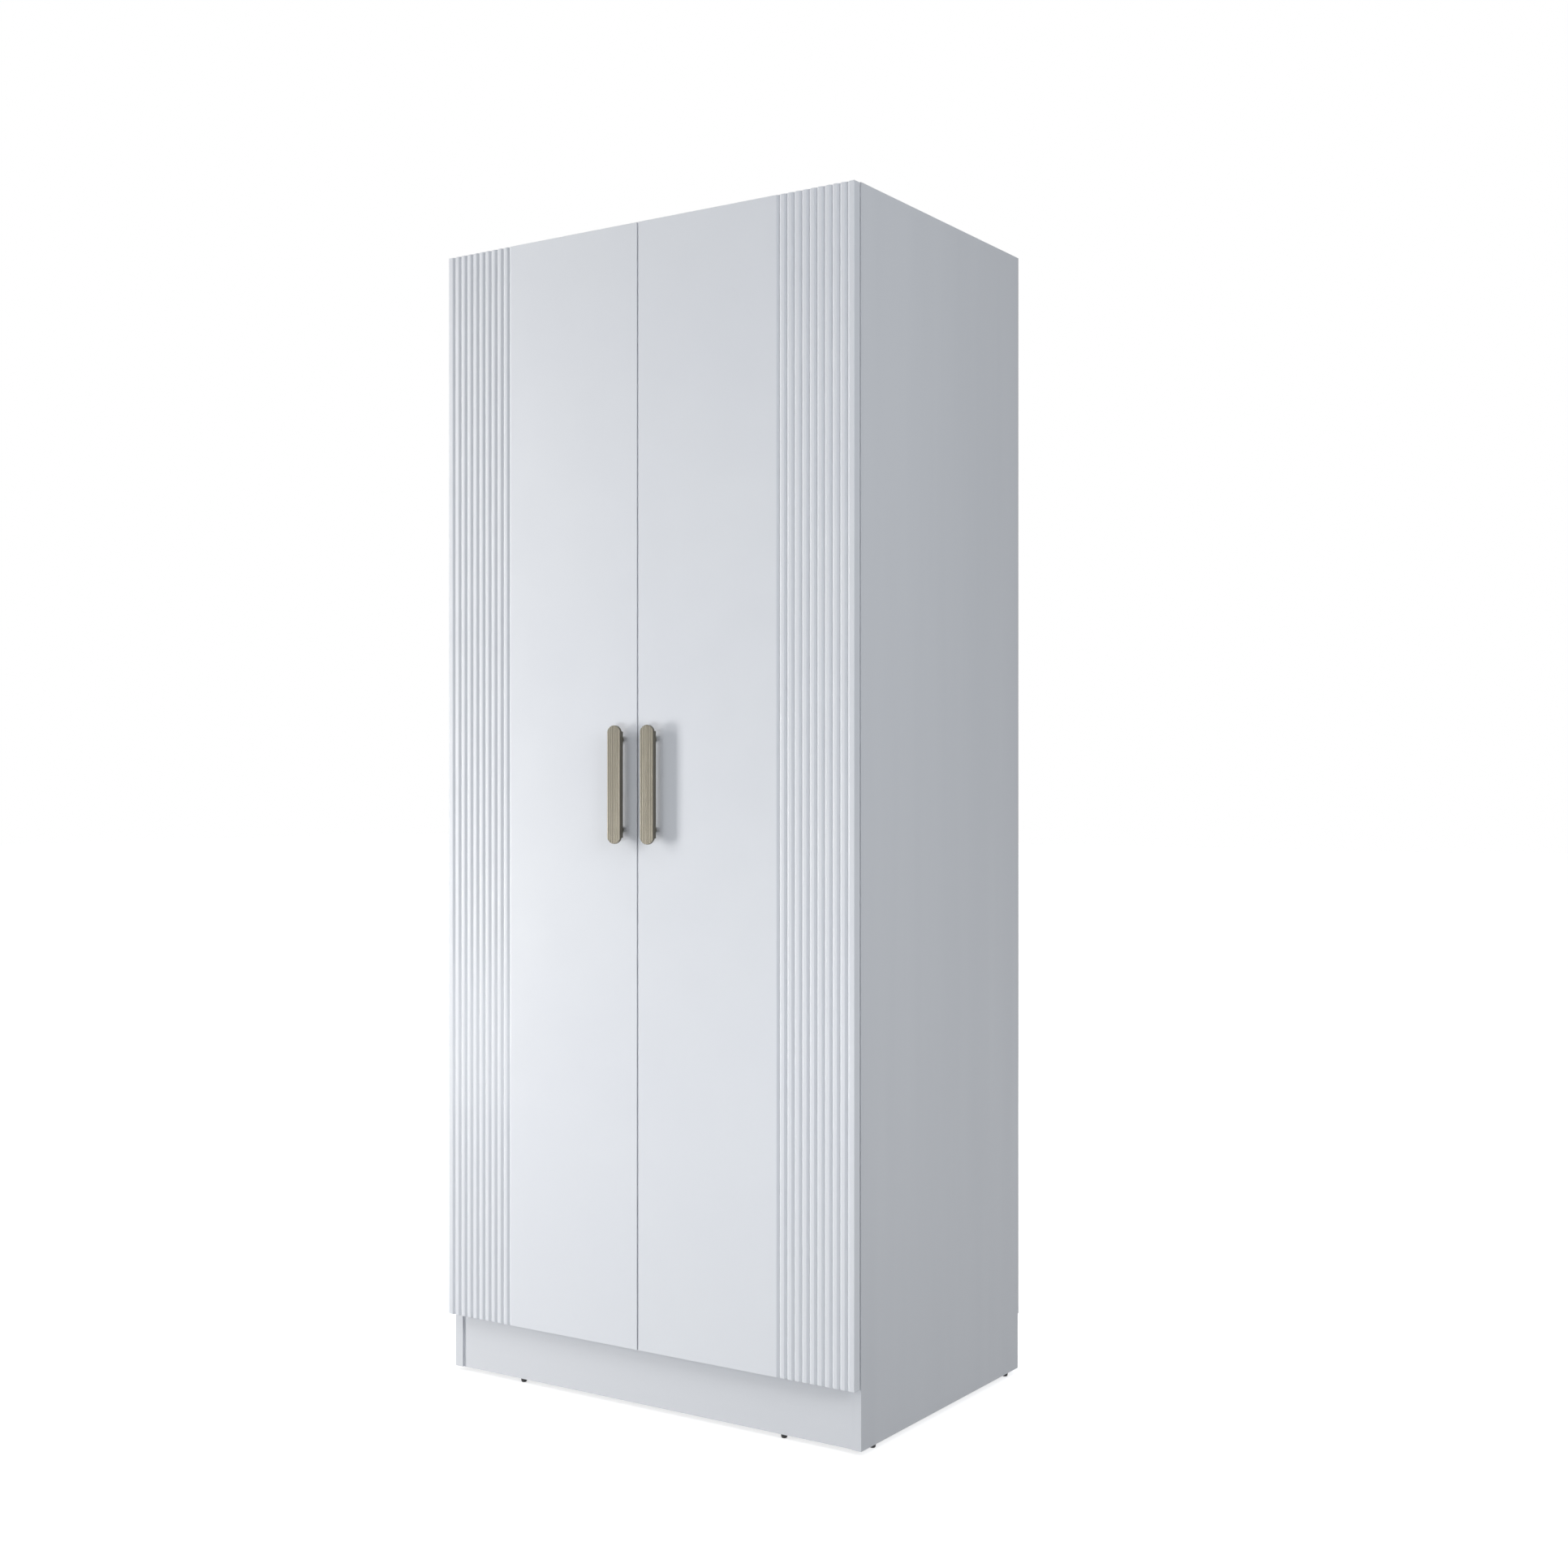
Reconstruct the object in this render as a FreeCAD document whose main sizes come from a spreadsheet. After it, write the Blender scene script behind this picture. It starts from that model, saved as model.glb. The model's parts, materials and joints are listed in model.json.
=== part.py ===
import FreeCAD, Part
import math
import os
import re
import Sketcher

# Two-door hinged wardrobe, in millimetres. +X is to the right seen from the front, +Y to the back,
# +Z up. The origin is the bottom centre of the whole object's box: the floor is z = 0.
# Everything on the left is built once and mirrored in the plane x = 0 for the right.

DRIVING = {
    # carcass
    "width": 900, "depth": 575, "height": 2100, "board": 18, "back_sheet": 3, "back_lift": 3,
    "plinth_height": 100, "plinth_setback": 3, "rear_plinth_setback": 30,
    "hat_space": 322, "low_space": 250, "shelf_setback": 20, "shelf_gap": 1, "shelf_back_gap": 3,
    "joiner_flange": 1, "joiner_web": 1, "joiner_half": 8,
    # glides
    "glide_height": 8, "glide_top": 7.5, "glide_foot": 5, "glide_front": 52, "glide_rear": 536,
    "glide_plinth": 160, "glide_nail": 1, "glide_nail_length": 14,
    # doors
    "door_thickness": 18, "door_gap": 2, "door_inset": 1, "door_split": 3, "door_low": 103,
    "door_top": 1, "groove_first": 14.2, "groove_pitch": 15, "groove_width": 9.3, "groove_depth": 3,
    "groove_count": 10, "buffer_radius": 4, "buffer_height": 1.6, "buffer_inset": 14, "buffer_lift": 2,
    # handles
    "handle_length": 210, "handle_width": 29, "handle_bar": 9, "handle_face": 5, "handle_end": 10.9,
    "handle_reach": 22, "handle_inset": 35, "handle_lift": 2.5, "post_spacing": 160, "post_radius": 6,
    "reed_pitch": 4.1, "reed_count": 7, "reed_cut": 1.2, "reed_depth": 0.8,
    "handle_screw": 2, "handle_screw_grip": 5,
    # hinges: places are u inwards from the carcass's outer face and v behind its front plane
    "hinge_end": 100, "hinge_count": 4, "cup_u": 23.5, "cup_radius": 17.5, "cup_wall": 0.8,
    "cup_depth": 12, "cup_flange": 1.2, "cup_flange_wide": 19.5, "cup_flange_start": 3,
    "cup_flange_end": 6, "cup_screw_u": 33, "cup_screw_spread": 22.5, "cup_screw": 1.75,
    "cup_pin_half": 9.7, "pivot": 1, "carcass_pivot_u": 25.8, "carcass_pivot_v": 0.5,
    "door_pivot_u": 10, "door_pivot_v": -6, "elbow_u": 14.1, "elbow_v": -10.4,
    "link_sheet": 1.8, "link_half": 4.5, "link_eye": 1.8, "cheek_inner": 4.8, "cheek_outer": 6,
    "arm_ear": 2.6, "arm_low": 20, "arm_web": 25.8, "arm_top": 27, "arm_start": 3.4, "arm_end": 62,
    "arm_screw_one": 30, "arm_screw_two": 52, "arm_screw_bore": 5, "arm_screw_grip": 4,
    "rib_start": 15.4, "plate_v": 37, "plate_half": 9, "plate_reach": 26, "plate_sheet": 2,
    "plate_screw_spread": 16, "plate_screw": 2, "plate_screw_grip": 11,
    "spring_long": 17, "spring_tall": 10, "spring_sheet": 0.5, "spring_lip": 4,
    # hanging rail
    "rail_tall": 30, "rail_wide": 15, "rail_wall": 1, "rail_drop": 60, "rail_v": 280,
    "socket_plate": 3, "socket_wide": 28, "socket_end": 8, "socket_collar": 10, "socket_wall": 3,
    "socket_play": 0.2, "rail_screw_spread": 26, "rail_screw": 1.8,
    # joints between boards
    "cam_radius": 7.5, "cam_height": 12.5, "cam_inset": 34, "cam_front": 60, "cam_rear": 512,
    "slot_long": 8, "slot_wide": 1.6, "slot_deep": 2, "bolt_radius": 3.4, "bolt_stem": 2.5,
    "bolt_depth": 11, "bolt_head": 4, "dowel_radius": 4, "dowel_side": 12, "dowel_board": 20,
    "dowel_front": 150, "dowel_rear": 422, "plinth_joint_spread": 22,
    "pin_radius": 2.45, "pin_hole": 2.5, "pin_depth": 9, "pin_reach": 5, "pin_column": 37,
    "pin_pitch": 32, "pin_holes": 5, "paddle_long": 11, "paddle_wide": 8, "paddle_sheet": 1.6,
    "nail_radius": 0.7, "nail_length": 22, "nail_head": 2.4, "nail_head_height": 0.6,
    "nail_rows": 14, "nail_margin": 12, "nail_side": 60,
    # wall brackets
    "bracket_x": 320, "bracket_wide": 30, "bracket_leg": 40, "bracket_sheet": 2, "bracket_hole": 3,
    "bracket_hole_drop": 24, "bracket_screw": 2, "bracket_screw_back": 26,
    # screws and play
    "screw_bore": 12, "head_ratio": 1.9, "pan_head": 2, "round_head": 1.5, "flat_head": 0.8,
    "screw_play": 0.05, "fit_play": 0.05,
}

# Places worked out from the driving dimensions, as formulas for the document's own expressions.
DERIVED = {
    "rear": "(depth + door_gap + door_thickness + handle_reach + joiner_flange) / 2",
    "back_outer": "rear - joiner_flange",
    "back_inner": "back_outer - back_sheet",
    "front": "back_outer - depth",
    "side": "width / 2",
    "inside": "side - board",
    "panel_depth": "depth - back_sheet",
    "floor_of_boards": "glide_height",
    "top": "glide_height + height",
    "bottom_low": "glide_height + plinth_height",
    "bottom_high": "bottom_low + board",
    "top_low": "top - board",
    "hat_low": "top_low - hat_space - board",
    "low_shelf_low": "bottom_high + low_space",
    "door_back": "front - door_gap",
    "door_front": "door_back - door_thickness",
    "door_bottom": "glide_height + door_low",
    "door_high": "height - door_low - door_top",
    "door_width": "side - door_inset - door_split / 2",
    "door_middle": "door_bottom + door_high / 2",
    "handle_x": "door_split / 2 + handle_inset",
    "handle_front": "door_front - handle_reach",
    "handle_back": "handle_front + handle_bar",
    "handle_middle": "door_middle + handle_lift",
    "handle_bottom": "handle_middle - handle_length / 2",
    "handle_bow": "(handle_width ^ 2 / 4 + handle_end ^ 2) / (2 * handle_end)",
    "post_length": "handle_reach - handle_bar",
    "hinge_pitch": "(door_high - 2 * hinge_end) / (hinge_count - 1)",
    "rail_z": "hat_low - rail_drop",
    "rail_y": "front + rail_v",
    "plinth_front_y": "front + plinth_setback",
    "plinth_rear_y": "back_inner - rear_plinth_setback - board",
    "plinth_middle": "glide_height + plinth_height / 2",
    "nail_z_low": "bottom_high + nail_margin",
    "nail_z_pitch": "(top_low - nail_margin - nail_z_low) / (nail_rows - 1)",
    "back_low": "bottom_low + back_lift",
}

AXES = {
    "X": FreeCAD.Rotation(FreeCAD.Vector(0, 1, 0), 90),
    "-X": FreeCAD.Rotation(FreeCAD.Vector(0, 1, 0), -90),
    "Y": FreeCAD.Rotation(FreeCAD.Vector(1, 0, 0), -90),
    "-Y": FreeCAD.Rotation(FreeCAD.Vector(1, 0, 0), 90),
    "Z": FreeCAD.Rotation(),
    "-Z": FreeCAD.Rotation(FreeCAD.Vector(1, 0, 0), 180),
}

doc = FreeCAD.newDocument("Wardrobe")
nodes = []


def fill_sheet():
    """Put each driving dimension in a named cell of the document's spreadsheet."""
    sheet = doc.addObject("Spreadsheet::Sheet", "Dimensions")
    for row, (word, number) in enumerate(DRIVING.items(), start=1):
        sheet.set(f"A{row}", word)
        sheet.set(f"B{row}", str(number))
        sheet.setAlias(f"B{row}", word)
    doc.recompute()


def formula(text):
    """Turn the words of a formula into references to the sheet's cells."""
    def expand(match):
        word = match.group(0)
        if word in DERIVED:
            return "(" + formula(DERIVED[word]) + ")"
        if word in DRIVING:
            return "Dimensions." + word
        return word
    return re.sub(r"[a-z_]+", expand, str(text))


def bind(thing, **sizes):
    for name, text in sizes.items():
        thing.setExpression(name, formula(text))
    return thing


def place(thing, at, rotation=None):
    if rotation is not None:
        thing.Placement = FreeCAD.Placement(FreeCAD.Vector(), rotation)
    for axis, text in zip("xyz", at):
        thing.setExpression("Placement.Base." + axis, formula(text))
    return thing


# ---- building blocks -------------------------------------------------------------------------------

def box(size, at):
    thing = doc.addObject("Part::Box", "Box")
    bind(thing, Length=size[0], Width=size[1], Height=size[2])
    return place(thing, at)


def rod(radius, length, at, along="Z"):
    thing = doc.addObject("Part::Cylinder", "Rod")
    bind(thing, Radius=radius, Height=length)
    return place(thing, at, AXES[along])


def strip(start, end, thickness, half_height, middle):
    """A flat strip that stands on edge between two points of the plan."""
    run_x = f"(({end[0]}) - ({start[0]}))"
    run_y = f"(({end[1]}) - ({start[1]}))"
    angle = f"atan2({run_y}; {run_x})"
    thing = box((f"sqrt({run_x}^2 + {run_y}^2)", thickness, f"2 * {half_height}"),
                (f"{start[0]} + {thickness} / 2 * sin({angle})",
                 f"{start[1]} - {thickness} / 2 * cos({angle})", f"{middle} - {half_height}"))
    thing.Placement.Rotation = FreeCAD.Rotation(FreeCAD.Vector(0, 0, 1), 1)
    thing.setExpression("Placement.Rotation.Angle", formula(angle))
    return thing


def opposite(along):
    return along[1:] if along.startswith("-") else "-" + along


def screw(radius, length, head_height, at, out):
    """A shank from the seat of its head inwards, and a round head that stands outwards."""
    shank = rod(radius, length, at, opposite(out))
    return fuse([shank, rod(f"head_ratio * {radius}", head_height, at, out)])


def fuse(things):
    joined = doc.addObject("Part::MultiFuse", "Fuse")
    joined.Shapes = things
    joined.Refine = True
    return joined


def group(things):
    """Separate solids that share one node."""
    together = doc.addObject("Part::Compound", "Group")
    together.Links = things
    return together


def cut(base, tools):
    result = doc.addObject("Part::Cut", "Cut")
    result.Base = base
    result.Tool = group(tools)
    return result


def mirror(thing):
    other = doc.addObject("Part::Mirroring", "Mirror")
    other.Source = thing
    other.Base = FreeCAD.Vector(0, 0, 0)
    other.Normal = FreeCAD.Vector(1, 0, 0)
    return other


def node(label, thing):
    thing.Label = label
    nodes.append(thing)
    return thing


def both_sides(label, thing):
    """One node on the left and its mirror image on the right."""
    return node(label + "_left", thing), node(label + "_right", mirror(thing))


def in_plan(u, v):
    """The plan point u inwards from the left outer face and v behind the carcass's front plane."""
    return f"{u} - side", f"front + ({v})"


# ---- places that several pieces share --------------------------------------------------------------

def hinge_heights():
    return [f"door_bottom + hinge_end + {number} * hinge_pitch" for number in range(DRIVING["hinge_count"])]


def pin_heights():
    """The height of the pins' centres under each shelf."""
    return [f"{shelf} - pin_radius" for shelf in ("hat_low", "low_shelf_low")]


def pin_columns():
    return ["front + pin_column", "back_inner - pin_column"]


def flat_joints():
    """Cams and dowels of the top and bottom panels: height of the joint and depth along it."""
    heights = ("top - board / 2", "bottom_low + board / 2")
    cams = [(height, f"front + {v}") for height in heights for v in ("cam_front", "cam_rear")]
    dowels = [(height, f"front + {v}") for height in heights for v in ("dowel_front", "dowel_rear")]
    return cams, dowels


def plinth_joints():
    """Cam and dowel at the end of each plinth: height and depth."""
    depths = ("plinth_front_y + board / 2", "plinth_rear_y + board / 2")
    cams = [("plinth_middle + plinth_joint_spread", y) for y in depths]
    dowels = [("plinth_middle - plinth_joint_spread", y) for y in depths]
    return cams, dowels


def rail_screw_heights():
    return ["rail_z - rail_screw_spread", "rail_z + rail_screw_spread"]


def nail_places():
    """Back nails of the left half, as (x, z): down the side, along the top and along the bottom."""
    down = [("board / 2 - side", f"nail_z_low + {number} * nail_z_pitch")
            for number in range(DRIVING["nail_rows"])]
    along = [(f"-({x})", height) for height in ("top - board / 2", "bottom_low + board / 2")
             for x in ("side - nail_side", "side / 2", "nail_side")]
    return down + along


# ---- sketches --------------------------------------------------------------------------------------

def plane_of(body, role):
    return next(feature for feature in body.Origin.OriginFeatures if feature.Role == role)


def sketch_on(body, role, name):
    sketch = body.newObject("Sketcher::SketchObject", name)
    sketch.AttachmentSupport = [(plane_of(body, role), "")]
    sketch.MapMode = "FlatFace"
    return sketch


def polygon(sketch, corners):
    """A closed outline. Each corner is (start x, start y, formula x, formula y), none below zero."""
    count = len(corners)
    for number, corner in enumerate(corners):
        following = corners[(number + 1) % count]
        sketch.addGeometry(Part.LineSegment(FreeCAD.Vector(corner[0], corner[1], 0),
                                            FreeCAD.Vector(following[0], following[1], 0)), False)
    for number in range(count):
        sketch.addConstraint(Sketcher.Constraint("Coincident", number, 2, (number + 1) % count, 1))
    for number, corner in enumerate(corners):
        for kind, start, text in (("DistanceX", corner[0], corner[2]), ("DistanceY", corner[1], corner[3])):
            index = sketch.addConstraint(Sketcher.Constraint(kind, -1, 1, number, 1, start))
            sketch.setExpression(f"Constraints[{index}]", formula(text))


def capsule(sketch):
    """The handle's outline: two straight sides and two bowed ends, standing on the sketch's origin."""
    width = DRIVING["handle_width"]
    length = DRIVING["handle_length"]
    rise = DRIVING["handle_end"]
    radius = (width ** 2 / 4 + rise ** 2) / (2 * rise)
    sweep = math.asin(width / 2 / radius)
    corners = [(width, rise, "handle_width", "handle_end"),
               (width, length - rise, "handle_width", "handle_length - handle_end"),
               (0, length - rise, "0", "handle_length - handle_end"),
               (0, rise, "0", "handle_end")]
    points = [FreeCAD.Vector(corner[0], corner[1], 0) for corner in corners]
    normal = FreeCAD.Vector(0, 0, 1)
    upper = Part.Circle(FreeCAD.Vector(width / 2, length - radius, 0), normal, radius)
    lower = Part.Circle(FreeCAD.Vector(width / 2, radius, 0), normal, radius)
    up = math.pi / 2
    sketch.addGeometry(Part.LineSegment(points[0], points[1]), False)
    sketch.addGeometry(Part.ArcOfCircle(upper, up - sweep, up + sweep), False)
    sketch.addGeometry(Part.LineSegment(points[2], points[3]), False)
    sketch.addGeometry(Part.ArcOfCircle(lower, 3 * up - sweep, 3 * up + sweep), False)
    for number in range(4):
        sketch.addConstraint(Sketcher.Constraint("Coincident", number, 2, (number + 1) % 4, 1))
    sizes = [("Radius", (arc, radius), "handle_bow") for arc in (1, 3)]
    ends = ((0, 1), (0, 2), (2, 1), (2, 2))
    for (line, end), (x, y, x_text, y_text) in zip(ends, corners):
        sizes.append(("DistanceX", (-1, 1, line, end, x), x_text))
        sizes.append(("DistanceY", (-1, 1, line, end, y), y_text))
    for kind, arguments, text in sizes:
        index = sketch.addConstraint(Sketcher.Constraint(kind, *arguments))
        sketch.setExpression(f"Constraints[{index}]", formula(text))


def repeat_grooves(body, sketch, count, pitch):
    """Cut the sketch through the whole height and repeat it across the face."""
    pocket = body.newObject("PartDesign::Pocket", "Groove")
    pocket.Profile = sketch
    pocket.Type = "ThroughAll"
    pocket.Reversed = True
    doc.recompute()
    pattern = body.newObject("PartDesign::LinearPattern", "Grooves")
    pattern.Originals = [pocket]
    pattern.Direction = (sketch, ["H_Axis"])
    bind(pattern, Length=f"({count} - 1) * {pitch}", Occurrences=count)
    body.Tip = pattern
    doc.recompute()


# ---- doors -----------------------------------------------------------------------------------------

def door_panel():
    """The left door: a plain board with V-grooves that run its whole height on the hinge side."""
    body = doc.addObject("PartDesign::Body", "DoorBody")
    thick = DRIVING["door_thickness"]
    wide = DRIVING["width"] / 2 - DRIVING["door_inset"] - DRIVING["door_split"] / 2
    plan = sketch_on(body, "XY_Plane", "DoorPlan")
    polygon(plan, [(0, 0, "0", "0"), (wide, 0, "door_width", "0"),
                   (wide, thick, "door_width", "door_thickness"), (0, thick, "0", "door_thickness")])
    pad = body.newObject("PartDesign::Pad", "DoorBoard")
    pad.Profile = plan
    bind(pad, Length="door_high")
    doc.recompute()
    middle = DRIVING["groove_first"]
    half = DRIVING["groove_width"] / 2
    groove = sketch_on(body, "XY_Plane", "GrooveProfile")
    polygon(groove, [(middle - half, 0, "groove_first - groove_width / 2", "0"),
                     (middle + half, 0, "groove_first + groove_width / 2", "0"),
                     (middle, DRIVING["groove_depth"], "groove_first", "groove_depth")])
    repeat_grooves(body, groove, "groove_count", "groove_pitch")
    place(body, ("door_inset - side", "door_front", "door_bottom"))
    bores = []
    for height in hinge_heights():
        x, y = in_plan("cup_u", "-door_gap")
        bores.append(rod("cup_radius + fit_play", "cup_depth + fit_play", (x, y, height), "-Y"))
        for sign in "+-":
            x, y = in_plan("cup_screw_u", "-door_gap")
            at = (x, y, f"{height} {sign} cup_screw_spread")
            bores.append(rod("cup_screw + screw_play", "screw_bore", at, "-Y"))
    for sign in "+-":
        at = ("-handle_x", "door_front", f"handle_middle {sign} post_spacing / 2")
        bores.append(rod("handle_screw + screw_play", "door_thickness", at, "Y"))
    both_sides("door_panel", cut(body, bores))


def handle():
    """A reeded face with bowed ends on a shorter, square-ended bar, and two posts screwed from behind."""
    body = doc.addObject("PartDesign::Body", "HandleBody")
    outline = sketch_on(body, "XZ_Plane", "HandleOutline")
    capsule(outline)
    pad = body.newObject("PartDesign::Pad", "HandleFace")
    pad.Profile = outline
    pad.Reversed = True
    bind(pad, Length="handle_face")
    doc.recompute()
    middle = DRIVING["handle_width"] / 2 - (DRIVING["reed_count"] - 2) / 2 * DRIVING["reed_pitch"]
    half = DRIVING["reed_cut"] / 2
    first = "(handle_width / 2 - (reed_count - 2) / 2 * reed_pitch)"
    valley = sketch_on(body, "XY_Plane", "ReedProfile")
    polygon(valley, [(middle - half, 0, f"{first} - reed_cut / 2", "0"),
                     (middle + half, 0, f"{first} + reed_cut / 2", "0"),
                     (middle, DRIVING["reed_depth"], first, "reed_depth")])
    repeat_grooves(body, valley, "(reed_count - 1)", "reed_pitch")
    place(body, ("-handle_x - handle_width / 2", "handle_front", "handle_bottom"))
    bar = box(("handle_width", "handle_bar - handle_face", "handle_length - 2 * handle_end"),
              ("-handle_x - handle_width / 2", "handle_front + handle_face", "handle_bottom + handle_end"))
    holes = []
    posts = []
    screws = []
    for sign in "+-":
        height = f"handle_middle {sign} post_spacing / 2"
        hole_radius = "handle_screw + screw_play"
        seat = ("-handle_x", "handle_back", height)
        holes.append(rod(hole_radius, "handle_screw_grip + screw_play", seat, "-Y"))
        post = rod("post_radius", "post_length", seat, "Y")
        posts.append(cut(post, [rod(hole_radius, "post_length", seat, "Y")]))
        screws.append(screw("handle_screw", "handle_screw_grip + post_length + door_thickness", "pan_head",
                            ("-handle_x", "door_back", height), "Y"))
    both_sides("handle_bar", cut(fuse([body, bar]), holes))
    both_sides("handle_posts", group(posts))
    both_sides("handle_screws", group(screws))


def door_buffers():
    """Soft pads near the doors' free edges, which meet the top and bottom panels."""
    x = "-(door_split / 2 + buffer_inset)"
    pads = [rod("buffer_radius", "buffer_height", (x, "door_back", height), "Y")
            for height in ("top - board / 2", "bottom_low + board / 2 + buffer_lift")]
    both_sides("door_buffers", group(pads))


# ---- hinges ----------------------------------------------------------------------------------------

def hinge_plates():
    """Mounting plates on the side panel: a base with a raised rib that the arm sits on."""
    plates = []
    screws = []
    for height in hinge_heights():
        x, y = in_plan("board", "plate_v - plate_half")
        base = box(("plate_sheet", "2 * plate_half", "2 * plate_reach"), (x, y, f"{height} - plate_reach"))
        x, y = in_plan("board", "rib_start")
        rib = box(("arm_web - board", "arm_end - rib_start", "2 * link_half"),
                  (x, y, f"{height} - link_half"))
        holes = []
        for sign in "+-":
            level = f"{height} {sign} plate_screw_spread"
            x, y = in_plan("board + plate_sheet", "plate_v")
            holes.append(rod("plate_screw + screw_play", "plate_sheet", (x, y, level), "-X"))
            screws.append(screw("plate_screw", "plate_sheet + plate_screw_grip", "pan_head",
                                (x, y, level), "X"))
        for depth in ("arm_screw_one", "arm_screw_two"):
            x, y = in_plan("arm_web", depth)
            holes.append(rod("plate_screw + screw_play", "arm_screw_bore", (x, y, height), "-X"))
        plates.append(cut(fuse([base, rib]), holes))
    both_sides("hinge_plates", group(plates))
    both_sides("plate_screws", group(screws))


def hinge_arms():
    """Channel-shaped arms that end in two ears, with the pin that the link turns on."""
    arms = []
    pins = []
    screws = []
    pivot_x, pivot_y = in_plan("carcass_pivot_u", "carcass_pivot_v")
    for height in hinge_heights():
        x, y = in_plan("arm_web", "arm_start")
        pieces = [box(("arm_top - arm_web", "arm_end - arm_start", "2 * cheek_outer"),
                      (x, y, f"{height} - cheek_outer"))]
        for low in ("cheek_inner", "-cheek_outer"):
            cheek_sheet = "cheek_outer - cheek_inner"
            x, y = in_plan("arm_low + plate_sheet", "arm_start")
            pieces.append(box(("arm_top - arm_low - plate_sheet", "arm_end - arm_start", cheek_sheet),
                              (x, y, f"{height} + {low}")))
            pieces.append(rod("arm_ear", cheek_sheet, (pivot_x, pivot_y, f"{height} + {low}")))
            x, y = in_plan("carcass_pivot_u - arm_ear", "carcass_pivot_v")
            neck = ("arm_ear + arm_top - carcass_pivot_u", "arm_start - carcass_pivot_v", cheek_sheet)
            pieces.append(box(neck, (x, y, f"{height} + {low}")))
        holes = [rod("pivot", "2 * cheek_outer", (pivot_x, pivot_y, f"{height} - cheek_outer"))]
        for depth in ("arm_screw_one", "arm_screw_two"):
            x, y = in_plan("arm_web", depth)
            holes.append(rod("plate_screw + screw_play", "arm_top - arm_web", (x, y, height), "X"))
            seat = (*in_plan("arm_top", depth), height)
            screws.append(screw("plate_screw", "arm_top - arm_web + arm_screw_grip", "pan_head", seat, "X"))
        arms.append(cut(fuse(pieces), holes))
        pins.append(rod("pivot", "2 * cheek_outer", (pivot_x, pivot_y, f"{height} - cheek_outer")))
    both_sides("hinge_arms", group(arms))
    both_sides("arm_pins", group(pins))
    both_sides("arm_screws", group(screws))


def hinge_links():
    """Bent strips that join the arm's pin to the cup's pin and reach round the cup's rim when open."""
    links = []
    carcass_pivot = in_plan("carcass_pivot_u", "carcass_pivot_v")
    door_pivot = in_plan("door_pivot_u", "door_pivot_v")
    elbow = in_plan("elbow_u", "elbow_v")
    for height in hinge_heights():
        low = f"{height} - link_half"
        ends = [(*carcass_pivot, low), (*door_pivot, low)]
        pieces = [strip(door_pivot, elbow, "link_sheet", "link_half", height),
                  strip(elbow, carcass_pivot, "link_sheet", "link_half", height),
                  rod("link_sheet / 2", "2 * link_half", (*elbow, low))]
        pieces += [rod("link_eye", "2 * link_half", end) for end in ends]
        holes = [rod("pivot + fit_play", "2 * link_half", end) for end in ends]
        links.append(cut(fuse(pieces), holes))
    both_sides("hinge_links", group(links))


def hinge_cups():
    """Cups let into the door, with a flange for two screws, the second pin and the closing spring."""
    cups = []
    pins = []
    springs = []
    screws = []
    for height in hinge_heights():
        x, y = in_plan("cup_u", "-door_gap")
        shell = rod("cup_radius", "cup_depth", (x, y, height), "-Y")
        hollow = rod("cup_radius - cup_wall", "cup_depth - cup_wall + cup_flange",
                     (x, f"{y} + cup_flange", height), "-Y")
        flange_x, flange_y = in_plan("cup_u - cup_flange_start", "-door_gap")
        flange = box(("cup_flange_wide", "cup_flange", "2 * (cup_screw_spread + cup_flange_end)"),
                     (flange_x, flange_y, f"{height} - cup_screw_spread - cup_flange_end"))
        pin_x, pin_y = in_plan("door_pivot_u", "door_pivot_v")
        holes = [hollow, rod("pivot", "2 * cup_pin_half", (pin_x, pin_y, f"{height} - cup_pin_half"))]
        for sign in "+-":
            screw_x, screw_y = in_plan("cup_screw_u", "cup_flange - door_gap")
            seat = (screw_x, screw_y, f"{height} {sign} cup_screw_spread")
            holes.append(rod("cup_screw + screw_play", "cup_flange", seat, "-Y"))
            screws.append(screw("cup_screw", "screw_bore", "flat_head", seat, "Y"))
        cups.append(cut(fuse([shell, flange]), holes))
        pins.append(rod("pivot", "2 * cup_pin_half", (pin_x, pin_y, f"{height} - cup_pin_half")))
        leaf_x, leaf_y = in_plan("cup_u - cup_flange_start", "-door_gap - cup_depth + cup_wall")
        low = f"{height} - spring_tall / 2"
        leaf = box(("spring_long", "spring_sheet", "spring_tall"), (leaf_x, leaf_y, low))
        lip = box(("spring_sheet", "spring_lip", "spring_tall"),
                  (f"{leaf_x} + spring_long - spring_sheet", leaf_y, low))
        springs.append(fuse([leaf, lip]))
    both_sides("hinge_cups", group(cups))
    both_sides("cup_pins", group(pins))
    both_sides("cup_screws", group(screws))
    both_sides("hinge_springs", group(springs))


# ---- carcass ---------------------------------------------------------------------------------------

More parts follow.
